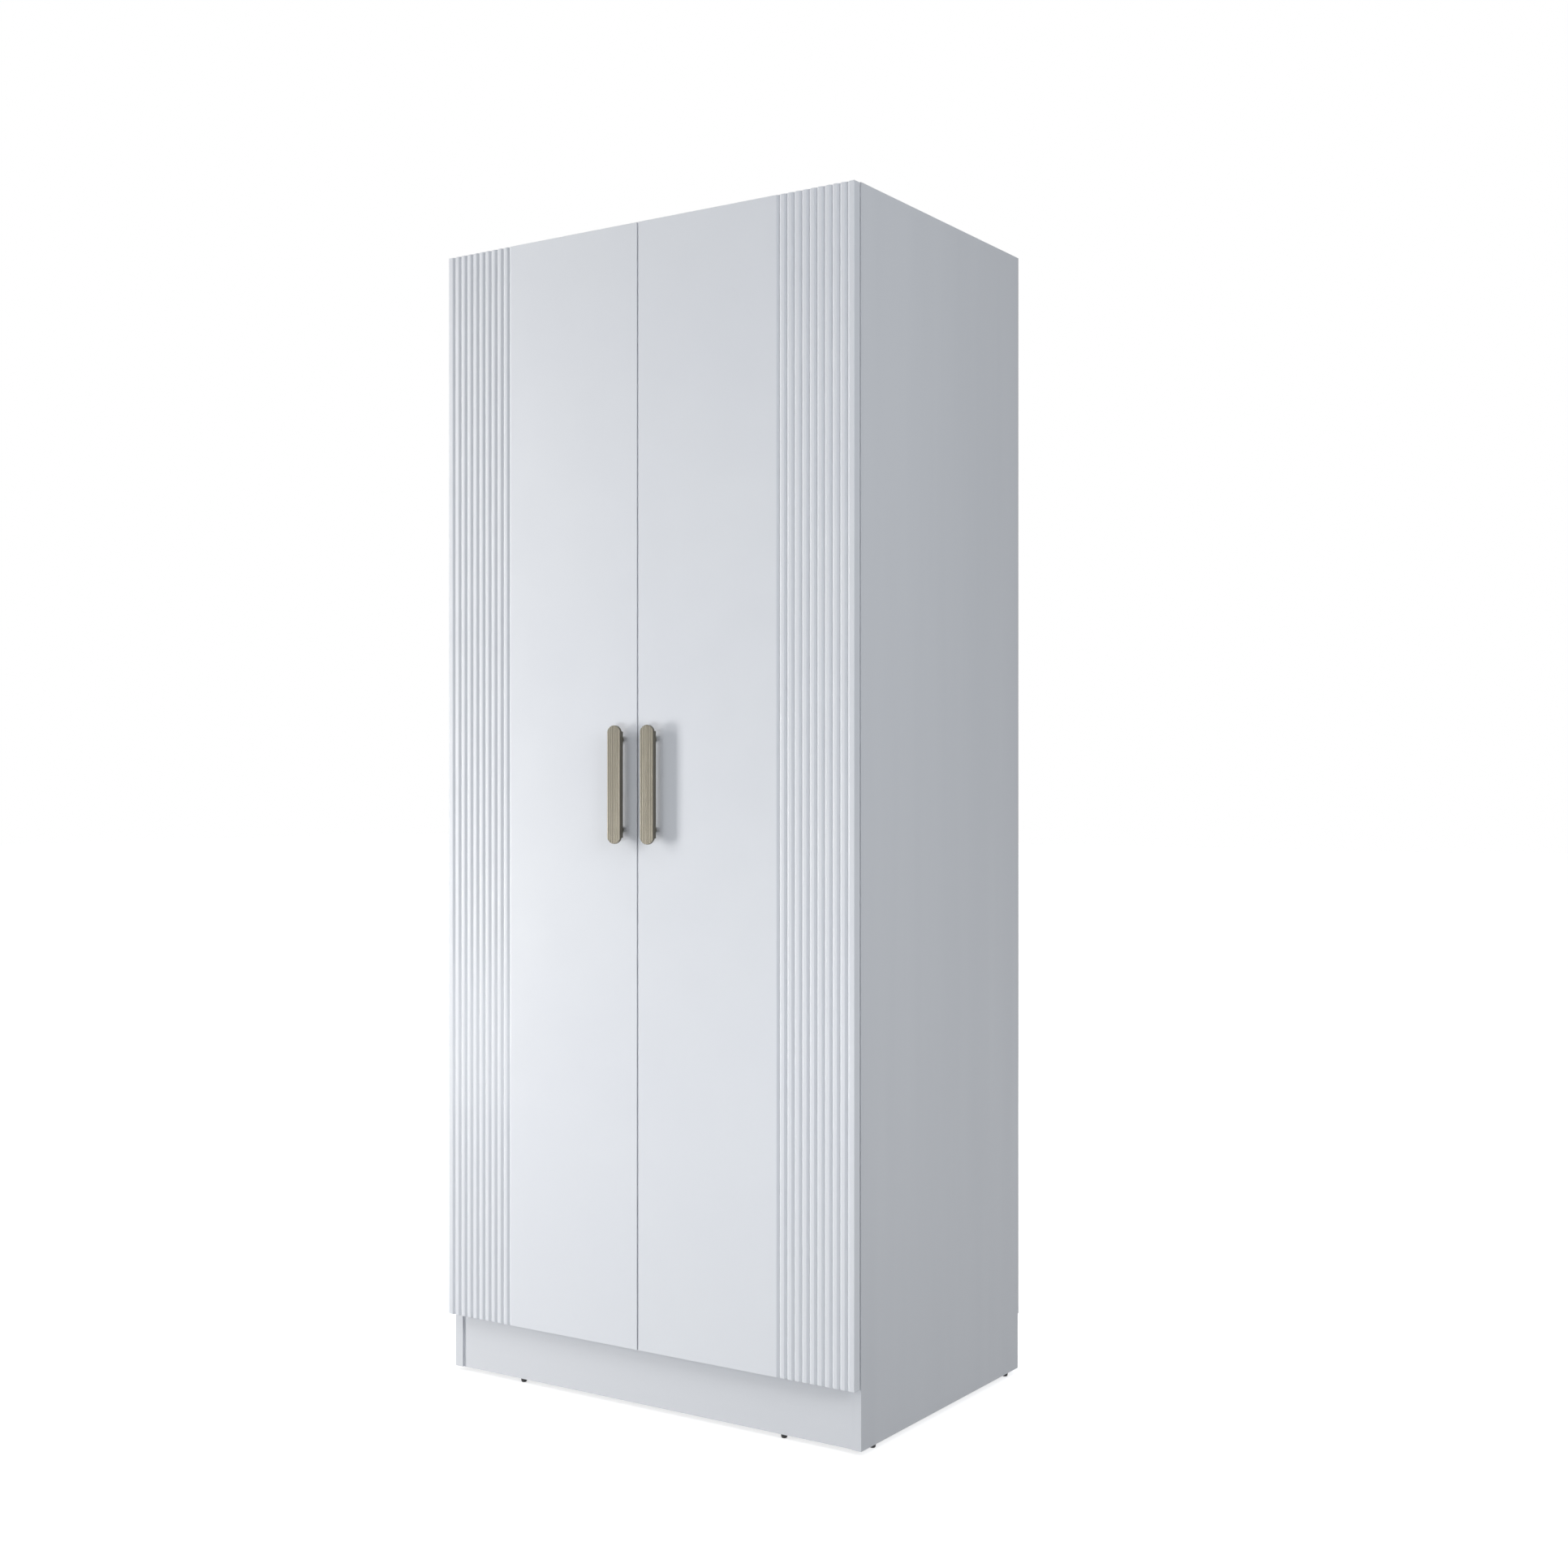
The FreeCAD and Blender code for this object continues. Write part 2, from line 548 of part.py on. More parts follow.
def side_panels():
    """Boards with the bores for hinges, shelf pins, rail, cam bolts, dowels and glides."""
    board = box(("board", "panel_depth", "height"), ("-side", "front", "floor_of_boards"))
    bores = []
    for height in hinge_heights():
        for sign in "+-":
            at = (*in_plan("board", "plate_v"), f"{height} {sign} plate_screw_spread")
            bores.append(rod("plate_screw + screw_play", "plate_screw_grip", at, "-X"))
    for middle in pin_heights():
        for y in pin_columns():
            for number in range(DRIVING["pin_holes"]):
                level = f"{middle} + ({number} - (pin_holes - 1) / 2) * pin_pitch"
                bores.append(rod("pin_hole", "pin_depth", ("-inside", y, level), "-X"))
    for height in rail_screw_heights():
        bores.append(rod("rail_screw + screw_play", "screw_bore", ("-inside", "rail_y", height), "-X"))
    flat_cams, flat_dowels = flat_joints()
    plinth_cams, plinth_dowels = plinth_joints()
    for height, y in flat_cams + plinth_cams:
        bores.append(rod("bolt_radius + fit_play", "bolt_depth", ("-inside", y, height), "-X"))
    for height, y in flat_dowels + plinth_dowels:
        bores.append(rod("dowel_radius + fit_play", "dowel_side", ("-inside", y, height), "-X"))
    for depth in ("glide_front", "glide_rear"):
        at = ("board / 2 - side", f"front + {depth}", "floor_of_boards")
        bores.append(rod("glide_nail + screw_play", "glide_nail_length", at, "Z"))
    both_sides("side_panel", cut(board, bores))


def end_bores(height_word, cam_face, cam_along):
    """Bolt, dowel and cam bores at the left end of the top or bottom panel."""
    cams, dowels = flat_joints()
    bores = []
    for height, y in cams:
        if height == height_word:
            bores.append(rod("bolt_radius + fit_play", "cam_inset", ("-inside", y, height), "X"))
            seat = ("cam_inset - inside", y, cam_face)
            bores.append(rod("cam_radius + fit_play", "cam_height", seat, cam_along))
    for height, y in dowels:
        if height == height_word:
            bores.append(rod("dowel_radius + fit_play", "dowel_board", ("-inside", y, height), "X"))
    return bores


def with_mirror(things):
    return things + [mirror(thing) for thing in things]


def flat_panels():
    """Top and bottom panels between the side panels, with their cams on the hidden faces."""
    top = box(("2 * inside", "panel_depth", "board"), ("-inside", "front", "top_low"))
    bracket_y = "back_inner - bracket_screw_back"
    bores = end_bores("top - board / 2", "top", "-Z")
    bores.append(rod("bracket_screw + screw_play", "screw_bore", ("-bracket_x", bracket_y, "top_low"), "Z"))
    node("top_panel", cut(top, with_mirror(bores)))
    bottom = box(("2 * inside", "panel_depth", "board"), ("-inside", "front", "bottom_low"))
    node("bottom_panel", cut(bottom, with_mirror(end_bores("bottom_low + board / 2", "bottom_low", "Z"))))


def shelves():
    """Loose boards that lie on pins."""
    for label, low in (("hat_shelf", "hat_low"), ("lower_shelf", "low_shelf_low")):
        size = ("2 * (inside - shelf_gap)", "panel_depth - shelf_setback - shelf_back_gap", "board")
        node(label, box(size, ("shelf_gap - inside", "front + shelf_setback", low)))


def plinths():
    """Boards on edge under the bottom panel; the cams are let into the faces that nobody sees."""
    cams, dowels = plinth_joints()
    faces = (("plinth_front", "plinth_front_y", "plinth_front_y + board", "-Y"),
             ("plinth_rear", "plinth_rear_y", "plinth_rear_y", "Y"))
    for (label, y, cam_face, cam_along), cam, dowel in zip(faces, cams, dowels):
        board = box(("2 * inside", "board", "plinth_height"), ("-inside", y, "floor_of_boards"))
        cam_seat = ("cam_inset - inside", cam_face, cam[0])
        nail_seat = ("glide_plinth - side", f"{y} + board / 2", "floor_of_boards")
        bores = [rod("bolt_radius + fit_play", "cam_inset", ("-inside", cam[1], cam[0]), "X"),
                 rod("cam_radius + fit_play", "cam_height", cam_seat, cam_along),
                 rod("dowel_radius + fit_play", "dowel_board", ("-inside", dowel[1], dowel[0]), "X"),
                 rod("glide_nail + screw_play", "glide_nail_length", nail_seat, "Z")]
        node(label, cut(board, with_mirror(bores)))


def back():
    """Two thin sheets on the carcass's rear edges and the strip that joins them down the middle."""
    sheet = box(("side - joiner_web / 2", "back_sheet", "top - back_low"),
                ("-side", "back_inner", "back_low"))
    fixing = ("-bracket_x", "back_inner", "top_low - bracket_hole_drop")
    hole = rod("bracket_hole", "back_sheet", fixing, "Y")
    both_sides("back_panel", cut(sheet, [hole]))
    web = box(("joiner_web", "back_sheet", "top - back_low"), ("-joiner_web / 2", "back_inner", "back_low"))
    outer = box(("2 * joiner_half", "joiner_flange", "top - back_low"),
                ("-joiner_half", "back_outer", "back_low"))
    inner = box(("2 * joiner_half", "joiner_flange", "top_low - bottom_high"),
                ("-joiner_half", "back_inner - joiner_flange", "bottom_high"))
    node("back_joiner", fuse([web, outer, inner]))
    nails = []
    for x, height in nail_places():
        shank = rod("nail_radius", "nail_length", (x, "back_outer", height), "-Y")
        head = rod("nail_head", "nail_head_height", (x, "back_outer", height), "Y")
        nails.append(fuse([shank, head]))
    node("back_nails", group(with_mirror(nails)))


def cross_slot(centre, along):
    """Two crossed bars just inside the lock's face, to be cut out of it."""
    x, y, z = centre
    sizes = (("slot_long", "slot_wide"), ("slot_wide", "slot_long"))
    bars = []
    for across, up in sizes:
        if along in ("Z", "-Z"):
            start = z if along == "Z" else f"{z} - slot_deep"
            bars.append(box((across, up, "slot_deep"), (f"{x} - {across} / 2", f"{y} - {up} / 2", start)))
        else:
            start = y if along == "Y" else f"{y} - slot_deep"
            bars.append(box((across, "slot_deep", up), (f"{x} - {across} / 2", start, f"{z} - {up} / 2")))
    return bars


def fittings():
    """Cam locks, cam bolts and dowels of every joint between boards."""
    flat_cams, flat_dowels = flat_joints()
    plinth_cams, plinth_dowels = plinth_joints()
    faces = [("top", "-Z"), ("top", "-Z"), ("bottom_low", "Z"), ("bottom_low", "Z"),
             ("plinth_front_y + board", "-Y"), ("plinth_rear_y", "Y")]
    locks = []
    bolts = []
    for (height, y), (face, along) in zip(flat_cams + plinth_cams, faces):
        middle = "cam_inset - inside"
        centre = (middle, y, face) if along in ("Z", "-Z") else (middle, face, height)
        body = rod("cam_radius", "cam_height", centre, along)
        mouth = (f"{middle} - cam_radius", y, height)
        entry = rod("bolt_radius + fit_play", "cam_radius + bolt_head / 2", mouth, "X")
        locks.append(cut(body, [entry] + cross_slot(centre, along)))
        thread = rod("bolt_radius", "bolt_depth", ("-inside", y, height), "-X")
        stem = rod("bolt_stem", "cam_inset - bolt_head", ("-inside", y, height), "X")
        head = rod("bolt_radius", "bolt_head", (f"{middle} - bolt_head", y, height), "X")
        bolts.append(fuse([thread, stem, head]))
    dowels = [rod("dowel_radius", "dowel_side + dowel_board", ("-inside - dowel_side", y, height), "X")
              for height, y in flat_dowels + plinth_dowels]
    node("cam_locks", group(with_mirror(locks)))
    node("cam_bolts", group(with_mirror(bolts)))
    node("dowels", group(with_mirror(dowels)))


def shelf_pins():
    """Pegs in the side panels with a flat paddle on which the shelf lies."""
    pins = []
    for height in pin_heights():
        for y in pin_columns():
            peg = rod("pin_radius", "pin_depth + pin_reach", ("-inside - pin_depth", y, height), "X")
            paddle = box(("paddle_long", "paddle_wide", "paddle_sheet"),
                         ("-inside", f"{y} - paddle_wide / 2", f"{height} + pin_radius - paddle_sheet"))
            pins.append(fuse([peg, paddle]))
    node("shelf_pins", group(with_mirror(pins)))


def oval(tall, wide, length, start_x):
    """An upright oval bar along X, centred on the hanging rail's line."""
    half = f"({tall} - {wide}) / 2"
    middle = box((length, wide, f"2 * {half}"), (start_x, f"rail_y - ({wide}) / 2", f"rail_z - {half}"))
    ends = [rod(f"({wide}) / 2", length, (start_x, "rail_y", f"rail_z {sign} {half}"), "X")
            for sign in "+-"]
    return fuse([middle] + ends)


def hanging_rail():
    """An oval tube between two sockets, each screwed to its side panel."""
    start = "socket_plate - inside"
    length = "2 * (inside - socket_plate)"
    tube = oval("rail_tall", "rail_wide", length, start)
    hollow = oval("(rail_tall - 2 * rail_wall)", "(rail_wide - 2 * rail_wall)", length, start)
    node("hanging_rail", cut(tube, [hollow]))
    plate = box(("socket_plate", "socket_wide", "2 * (rail_screw_spread + socket_end)"),
                ("-inside", "rail_y - socket_wide / 2", "rail_z - rail_screw_spread - socket_end"))
    collar = oval("(rail_tall + 2 * socket_wall)", "(rail_wide + 2 * socket_wall)", "socket_collar", start)
    seat = oval("(rail_tall + 2 * socket_play)", "(rail_wide + 2 * socket_play)", "socket_collar", start)
    screw_bores = []
    screws = []
    for height in rail_screw_heights():
        face = ("socket_plate - inside", "rail_y", height)
        screw_bores.append(rod("rail_screw + screw_play", "socket_plate", face, "-X"))
        screws.append(screw("rail_screw", "socket_plate + screw_bore", "round_head", face, "X"))
    node("rail_sockets", group(with_mirror([cut(fuse([plate, collar]), [seat] + screw_bores)])))
    node("rail_screws", group(with_mirror(screws)))


def glide(x, y):
    """A tapered foot under a board's edge, held by its own nail."""
    foot = doc.addObject("Part::Cone", "Foot")
    bind(foot, Radius1="glide_foot", Radius2="glide_top", Height="glide_height")
    place(foot, (x, y, "0"))
    return fuse([foot, rod("glide_nail", "glide_nail_length", (x, y, "glide_height"))])


def glides():
    """Two under each side panel and two under each plinth."""
    side = [glide("board / 2 - side", f"front + {depth}") for depth in ("glide_front", "glide_rear")]
    node("side_glides", group(with_mirror(side)))
    under = [glide("glide_plinth - side", f"{y} + board / 2") for y in ("plinth_front_y", "plinth_rear_y")]
    node("plinth_glides", group(with_mirror(under)))


def wall_brackets():
    """Angles under the top panel: one leg takes a screw up, the other a screw back into the wall."""
    left = "-bracket_x - bracket_wide / 2"
    upper = box(("bracket_wide", "bracket_leg", "bracket_sheet"),
                (left, "back_inner - bracket_leg", "top_low - bracket_sheet"))
    upright = box(("bracket_wide", "bracket_sheet", "bracket_leg"),
                  (left, "back_inner - bracket_sheet", "top_low - bracket_leg"))
    at = ("-bracket_x", "back_inner - bracket_screw_back", "top_low - bracket_sheet")
    bores = [rod("bracket_screw + screw_play", "bracket_sheet", at, "Z"),
             rod("bracket_hole", "bracket_sheet",
                 ("-bracket_x", "back_inner - bracket_sheet", "top_low - bracket_hole_drop"), "Y")]
    node("wall_brackets", group(with_mirror([cut(fuse([upper, upright]), bores)])))
    fixing = screw("bracket_screw", "bracket_sheet + screw_bore", "round_head", at, "-Z")
    node("bracket_screws", group(with_mirror([fixing])))


# ---- the whole wardrobe ----------------------------------------------------------------------------

def check():
    """Stop if anything in the document failed or a node's shape isn't sound."""
    for thing in doc.Objects:
        if {"Invalid", "Error"} & set(thing.State):
            raise RuntimeError(f"{thing.Name} failed: {thing.State}")
    for thing in nodes:
        shape = thing.Shape
        if shape.isNull() or not shape.isValid() or not shape.Solids:
            raise RuntimeError(f"{thing.Label} has no sound shape")


def write():
    os.makedirs("parts", exist_ok=True)
    for thing in nodes:
        thing.Shape.exportStep(f"parts/{thing.Label}.step")
        size = thing.Shape.BoundBox
        print(f"{thing.Label}: {len(thing.Shape.Solids)} solids, "
              f"{size.XLength:.1f} x {size.YLength:.1f} x {size.ZLength:.1f}")


fill_sheet()
side_panels()
flat_panels()
shelves()
plinths()
back()
fittings()
shelf_pins()
hanging_rail()
glides()
wall_brackets()
door_panel()
handle()
door_buffers()
hinge_plates()
hinge_arms()
hinge_links()
hinge_cups()
doc.recompute()
check()
write()
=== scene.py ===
import bmesh
import bpy
import json
import math
from mathutils import Matrix, Vector

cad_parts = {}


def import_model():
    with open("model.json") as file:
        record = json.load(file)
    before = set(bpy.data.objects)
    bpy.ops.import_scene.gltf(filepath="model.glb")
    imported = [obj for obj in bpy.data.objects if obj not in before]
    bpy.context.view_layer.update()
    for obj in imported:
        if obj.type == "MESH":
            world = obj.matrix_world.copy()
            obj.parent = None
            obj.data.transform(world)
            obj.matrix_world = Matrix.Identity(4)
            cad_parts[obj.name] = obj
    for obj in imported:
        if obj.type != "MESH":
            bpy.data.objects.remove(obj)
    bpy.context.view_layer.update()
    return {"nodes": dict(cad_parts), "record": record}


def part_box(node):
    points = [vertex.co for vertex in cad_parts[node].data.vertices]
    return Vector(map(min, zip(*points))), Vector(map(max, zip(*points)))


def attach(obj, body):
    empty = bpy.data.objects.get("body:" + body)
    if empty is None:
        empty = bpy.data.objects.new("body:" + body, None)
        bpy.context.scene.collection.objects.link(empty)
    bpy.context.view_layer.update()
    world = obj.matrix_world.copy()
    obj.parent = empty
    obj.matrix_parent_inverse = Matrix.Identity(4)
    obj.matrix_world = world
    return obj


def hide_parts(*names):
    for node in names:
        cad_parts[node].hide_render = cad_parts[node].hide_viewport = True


# A two-door wardrobe, in metres. +X is to the right seen from the front, +Y to the back, +Z up.

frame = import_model()
NODES = frame["nodes"]
MM = 0.001
SIDES = ("left", "right")

# Camera: a level view of the front and the right side. The lens is in mm, the turn in degrees.
LENS = 45.9
SENSOR = 36
CAMERA_TURN = 33.39
CAMERA_X = 2.1626
CAMERA_DISTANCE = 2.8099
CAMERA_HEIGHT = 1.1127

# Lamps: name, place, target, width, height, watts, colour. Both keys stand on the left, the stronger one
# low, as in the photo: its doors are brightest near the bottom and every groove has one dark wall. The lamp
# behind is narrower than the object, so it lights the back and leaves both sides alone.
WARM = (1.0, 0.985, 0.96)
COOL = (0.95, 0.98, 1.0)
LAMPS = (
    ("key_low", (-3.708, -2.259, 0.5), (0, -0.287, 0.8), 0.8, 1.8, 130, WARM),
    ("key_high", (-3.708, -2.259, 2.4), (0, -0.287, 1.7), 0.8, 1.2, 50, WARM),
    ("front_low", (0, -3.2, 0.25), (0, -0.287, 0.9), 2.4, 0.5, 24, COOL),
    ("right_near", (3.1, -1.8, 2.4), (0.45, 0, 1.5), 1.0, 1.2, 23, COOL),
    ("right_side", (3.3, -0.9, 1.6), (0.45, 0, 1.36), 1.0, 1.2, 15.5, COOL),
    ("right_high", (3.3, -0.9, 2.4), (0.45, 0, 1.84), 1.0, 1.2, 6.5, COOL),
    ("behind", (0, 4.2, 1.6), (0, 0.3, 1.1), 0.8, 2.4, 95, COOL),
)
OVERHEAD_SPREAD = 70
OVERHEAD_STRENGTH = 1.45
AROUND_COLOUR = (0.93, 0.96, 1.0)
AROUND_STRENGTH = 0.15
FLOOR_HALF = 30
FLOOR_GLOW = 0.72

# Mesh building
PRISM_STEPS = 3
ROUND_END_STEPS = 8
TIGHTEST_TURN = 0.3
WELD_DISTANCE = 0.002 * MM
FLAT_ANGLE = 0.5
SHARP_ANGLE = 40
NORMAL_WEIGHT = 80
BEVEL_SEGMENTS = 2

# Doors
GROOVES = 10
FIRST_GROOVE = 14.2 * MM
GROOVE_PITCH = 15 * MM
GROOVE_HALF = 4.65 * MM
GROOVE_DEPTH = 3 * MM
DOOR_SOFT = 0.6 * MM
DOOR_END_SOFT = 0.5 * MM
SHOULDER_SOFT = 1.4 * MM
VALLEY_SOFT = 0.35 * MM

# Handles: the reeded grip, the body behind it, and the posts
REEDS = 7
REED_STEPS = 8
REED_HEIGHT = 0.8 * MM
REED_FULLNESS = 0.96
REED_END_DIP = 0.5
GRIP_THICK = 5 * MM
GRIP_EDGE = 0.8 * MM
GRIP_EDGE_STEPS = 3
END_RISE = 10.9 * MM
BODY_CORNER = 0.6 * MM
BODY_SOFT = 0.4 * MM
BODY_OVERLAP = 0.2 * MM
POST_FOOT_SOFT = 0.4 * MM
POST_END = 1.6 * MM
POST_WAIST = 1.2 * MM

# Glides
GLIDE_TALL = 8 * MM
GLIDE_DOME = 2 * MM
GLIDE_DOME_INSET = 4.2 * MM
GLIDE_NECK = 1.6 * MM
GLIDE_COLLAR_SOFT = 0.6 * MM
GLIDE_COLLAR_TALL = 1.3 * MM

# Screws: shares of the shank's radius, of the head's radius and of the head's height
SCREW_SEGMENTS = 32
HEAD_TO_SHANK = 1.85
TIP_WIDE = 0.35
TIP_TALL = 1.2
POINT_TALL = 2.6
SHANK_STEP = 0.01 * MM
HEAD_FLAT = 0.45
HEAD_WALL = 0.25
HEAD_STEPS = 5
RECESS_WIDE = 0.13
RECESS_LONG = 0.55
RECESS_FLOOR = 0.3
HANDLE_HEAD = 2 * MM
CUP_HEAD = 0.8 * MM
PLATE_HEAD = 2 * MM
ARM_HEAD = 2 * MM
RAIL_HEAD = 1.5 * MM
BRACKET_HEAD = 2 * MM

# Hinge cups with their two tabs, and the bores in the doors
CUP_RADIUS = 17.5 * MM
CUP_DEPTH = 12 * MM
CUP_WALL = 0.8 * MM
CUP_FLOOR_SOFT = 2.4 * MM
CUP_SEGMENTS = 64
CUP_LIP_STEPS = 6
TAB_NEAR = 3 * MM
TAB_FAR = 16.5 * MM
TAB_HALF = 28.5 * MM
TAB_CORNER = 5 * MM
TAB_LOW = -0.6 * MM
TAB_HIGH = 1.2 * MM
TAB_SOFT = 0.35 * MM
MOUTH_LOW = -2 * MM
MOUTH_FLARE_START = 0.6 * MM
MOUTH_FLARE = 0.7 * MM
MOUTH_HIGH = 1.3 * MM
CUP_SCREW_BORE = 1.8 * MM
HANDLE_BORE = 2.05 * MM
PLAY = 0.05 * MM
BORE_LEAD = 1 * MM

# Hinge mounting plates
MOUNT_HALF = 9 * MM
MOUNT_CORNER = 7 * MM
MOUNT_TALL = 2 * MM
MOUNT_SOFT = 0.5 * MM
BRIDGE_LOW = 1 * MM
BRIDGE_HALF = 4.5 * MM
BRIDGE_CORNER = 1.2 * MM
BRIDGE_SOFT = 0.6 * MM

# Shelf supports: a peg in the side panel and a flat spoon under the shelf
PEG_SEGMENTS = 32
PEG_RADIUS = 2.45 * MM
PEG_DEEP = 9 * MM
PEG_TIP = 0.5 * MM
PEG_END = 0.6 * MM
SPOON_HALF = 4 * MM
SPOON_LONG = 11 * MM
SPOON_THICK = 1.6 * MM
SPOON_ROOT = 0.3 * MM
SPOON_ROUND = 3.6 * MM
SPOON_SOFT = 0.3 * MM

# Nails and buffers
NAIL_SEGMENTS = 16
NAIL_SHANK = 0.7 * MM
NAIL_HEAD = 0.6 * MM
NAIL_DOME = ((0.97, 0.35), (0.8, 0.7), (0.45, 0.93))
BUFFER_RIM = 0.15
BUFFER_STEPS = 6
BUFFER_SEGMENTS = 40

# Each local axis triple is (across, up the outline, along the solid).
ALONG_Z = Matrix(((1, 0, 0), (0, 1, 0), (0, 0, 1)))
ALONG_FRONT = Matrix(((1, 0, 0), (0, 0, -1), (0, 1, 0)))
ALONG_BACK = Matrix(((-1, 0, 0), (0, 0, 1), (0, 1, 0)))
ALONG_X = Matrix(((0, 0, 1), (1, 0, 0), (0, 1, 0)))
ALONG_LEFT = Matrix(((0, 0, -1), (-1, 0, 0), (0, 1, 0)))
ALONG_DOWN = Matrix(((1, 0, 0), (0, -1, 0), (0, 0, -1)))
UP_TO_RIGHT = Matrix(((0, 1, 0), (-1, 0, 0), (0, 0, 1)))
UP_TO_LEFT = Matrix(((0, -1, 0), (1, 0, 0), (0, 0, 1)))


# ---- materials ---------------------------------------------------------------------------------------
# Noise scales are per metre, relief is in metres, and a gloss is the lowest and the highest roughness.

class Look:
    """A procedural material. Colour, roughness and relief vary over the surface by noise."""

    def __init__(self, name, roughness=0.5, metallic=0.0, coat=0.0, coat_roughness=0.1, specular=0.5):
        self.material = bpy.data.materials.new(name)
        self.material.use_nodes = True
        self.tree = self.material.node_tree
        self.shader = self.tree.nodes["Principled BSDF"]
        self.shader.inputs["Roughness"].default_value = roughness
        self.shader.inputs["Metallic"].default_value = metallic
        self.shader.inputs["Coat Weight"].default_value = coat
        self.shader.inputs["Coat Roughness"].default_value = coat_roughness
        self.shader.inputs["Specular IOR Level"].default_value = specular
        self.place = self.add("ShaderNodeTexCoord").outputs["Object"]
        self.relief = None

    def add(self, kind, **settings):
        made = self.tree.nodes.new(kind)
        for key, value in settings.items():
            setattr(made, key, value)
        return made

    def join(self, source, target):
        self.tree.links.new(source, target)

    def stretched(self, stretch):
        """The surface's place, stretched so that a pattern runs along the axis with the small number."""
        mapping = self.add("ShaderNodeMapping")
        mapping.inputs["Scale"].default_value = stretch
        self.join(self.place, mapping.inputs["Vector"])
        return mapping.outputs["Vector"]

    def noise(self, scale, stretch=(1, 1, 1), detail=4, rough=0.55):
        made = self.add("ShaderNodeTexNoise")
        made.inputs["Scale"].default_value = scale
        made.inputs["Detail"].default_value = detail
        made.inputs["Roughness"].default_value = rough
        self.join(self.stretched(stretch), made.inputs["Vector"])
        return made.outputs["Fac"]

    def ramp(self, source, stops):
        """Colours at given levels of a 0 to 1 pattern."""
        made = self.add("ShaderNodeValToRGB")
        points = made.color_ramp.elements
        while len(points) < len(stops):
            points.new(0.5)
        for point, (level, colour) in zip(points, stops):
            point.position = level
            point.color = (*colour, 1)
        self.join(source, made.inputs["Fac"])
        return made.outputs["Color"]

    def span(self, source, low, high, start=0.3, end=0.7):
        """A 0 to 1 pattern turned into numbers from low to high."""
        made = self.add("ShaderNodeMapRange")
        for key, value in (("From Min", start), ("From Max", end), ("To Min", low), ("To Max", high)):
            made.inputs[key].default_value = value
        self.join(source, made.inputs["Value"])
        return made.outputs["Result"]

    def tint(self, colour, other, pattern):
        """Base colour that drifts between two colours with a pattern."""
        self.join(self.ramp(pattern, [(0.3, colour), (0.7, other)]), self.shader.inputs["Base Color"])

    def gloss(self, pattern, low, high):
        self.join(self.span(pattern, low, high), self.shader.inputs["Roughness"])

    def bump(self, pattern, height, strength=1.0):
        """Relief of the given height in metres, on top of any earlier relief."""
        made = self.add("ShaderNodeBump")
        made.inputs["Distance"].default_value = height
        made.inputs["Strength"].default_value = strength
        self.join(pattern, made.inputs["Height"])
        if self.relief is not None:
            self.join(self.relief, made.inputs["Normal"])
        self.relief = made.outputs["Normal"]
        self.join(self.relief, self.shader.inputs["Normal"])


def board_look(name, stretch):
    """White melamine board: a faint printed wood grain that can be felt, satin."""
    look = Look(name, roughness=0.42, specular=0.45)
    grain = look.noise(9, stretch, detail=6, rough=0.62)
    look.tint((0.725, 0.742, 0.782), (0.752, 0.768, 0.806), grain)
    look.gloss(look.noise(30, stretch), 0.38, 0.5)
    look.bump(grain, 0.0001, 0.4)
    look.bump(look.noise(420, stretch, detail=2), 0.00004, 0.3)
    return look.material


def lacquer_look():
    """White satin lacquer with the faintest orange peel."""
    look = Look("door_lacquer", roughness=0.3, coat=0.25, coat_roughness=0.12)
    look.tint((0.78, 0.80, 0.85), (0.80, 0.82, 0.86), look.noise(2.2))
    look.gloss(look.noise(14), 0.29, 0.36)
    look.bump(look.noise(120, detail=1), 0.00003, 0.12)
    return look.material


def hardboard_look():
    look = Look("hardboard", roughness=0.6, specular=0.3)
    look.tint((0.70, 0.71, 0.72), (0.76, 0.77, 0.78), look.noise(40, (1, 1, 0.3), detail=6))
    look.gloss(look.noise(60), 0.52, 0.68)
    look.bump(look.noise(900, detail=3), 0.00008, 0.5)
    return look.material


def plastic_look(name, colour, other, roughness, fine):
    """Moulded plastic with a fine spark-eroded skin."""
    look = Look(name, roughness=roughness)
    look.tint(colour, other, look.noise(35))
    look.gloss(look.noise(90), roughness - 0.06, roughness + 0.08)
    look.bump(look.noise(fine, detail=2), 0.00003, 0.6)
    return look.material


def brushed_look(name, colour, other, roughness, stretch, coat=0.0):
    """Plated or painted metal with fine lines along one axis and slight handling marks."""
    look = Look(name, roughness=roughness, metallic=1.0, coat=coat)
    look.tint(colour, other, look.noise(55, stretch, detail=5))
    look.gloss(look.noise(120, stretch), roughness - 0.07, roughness + 0.09)
    look.bump(look.noise(1500, stretch, detail=2), 0.00002, 0.4)
    look.bump(look.noise(260, detail=3), 0.00001, 0.3)
    return look.material


def cast_look():
    look = Look("die_cast_zinc", roughness=0.48, metallic=0.9)
    look.tint((0.42, 0.42, 0.43), (0.56, 0.56, 0.57), look.noise(300, detail=5))
    look.gloss(look.noise(200), 0.4, 0.6)
    look.bump(look.noise(1400, detail=4), 0.00006, 0.7)
    return look.material


def beech_look():
    look = Look("beech", roughness=0.62)
    grain = look.noise(220, (0.06, 1, 1), detail=6)
    look.tint((0.50, 0.34, 0.19), (0.68, 0.51, 0.33), grain)
    look.gloss(look.noise(300), 0.55, 0.72)
    look.bump(grain, 0.0001, 0.6)
    return look.material


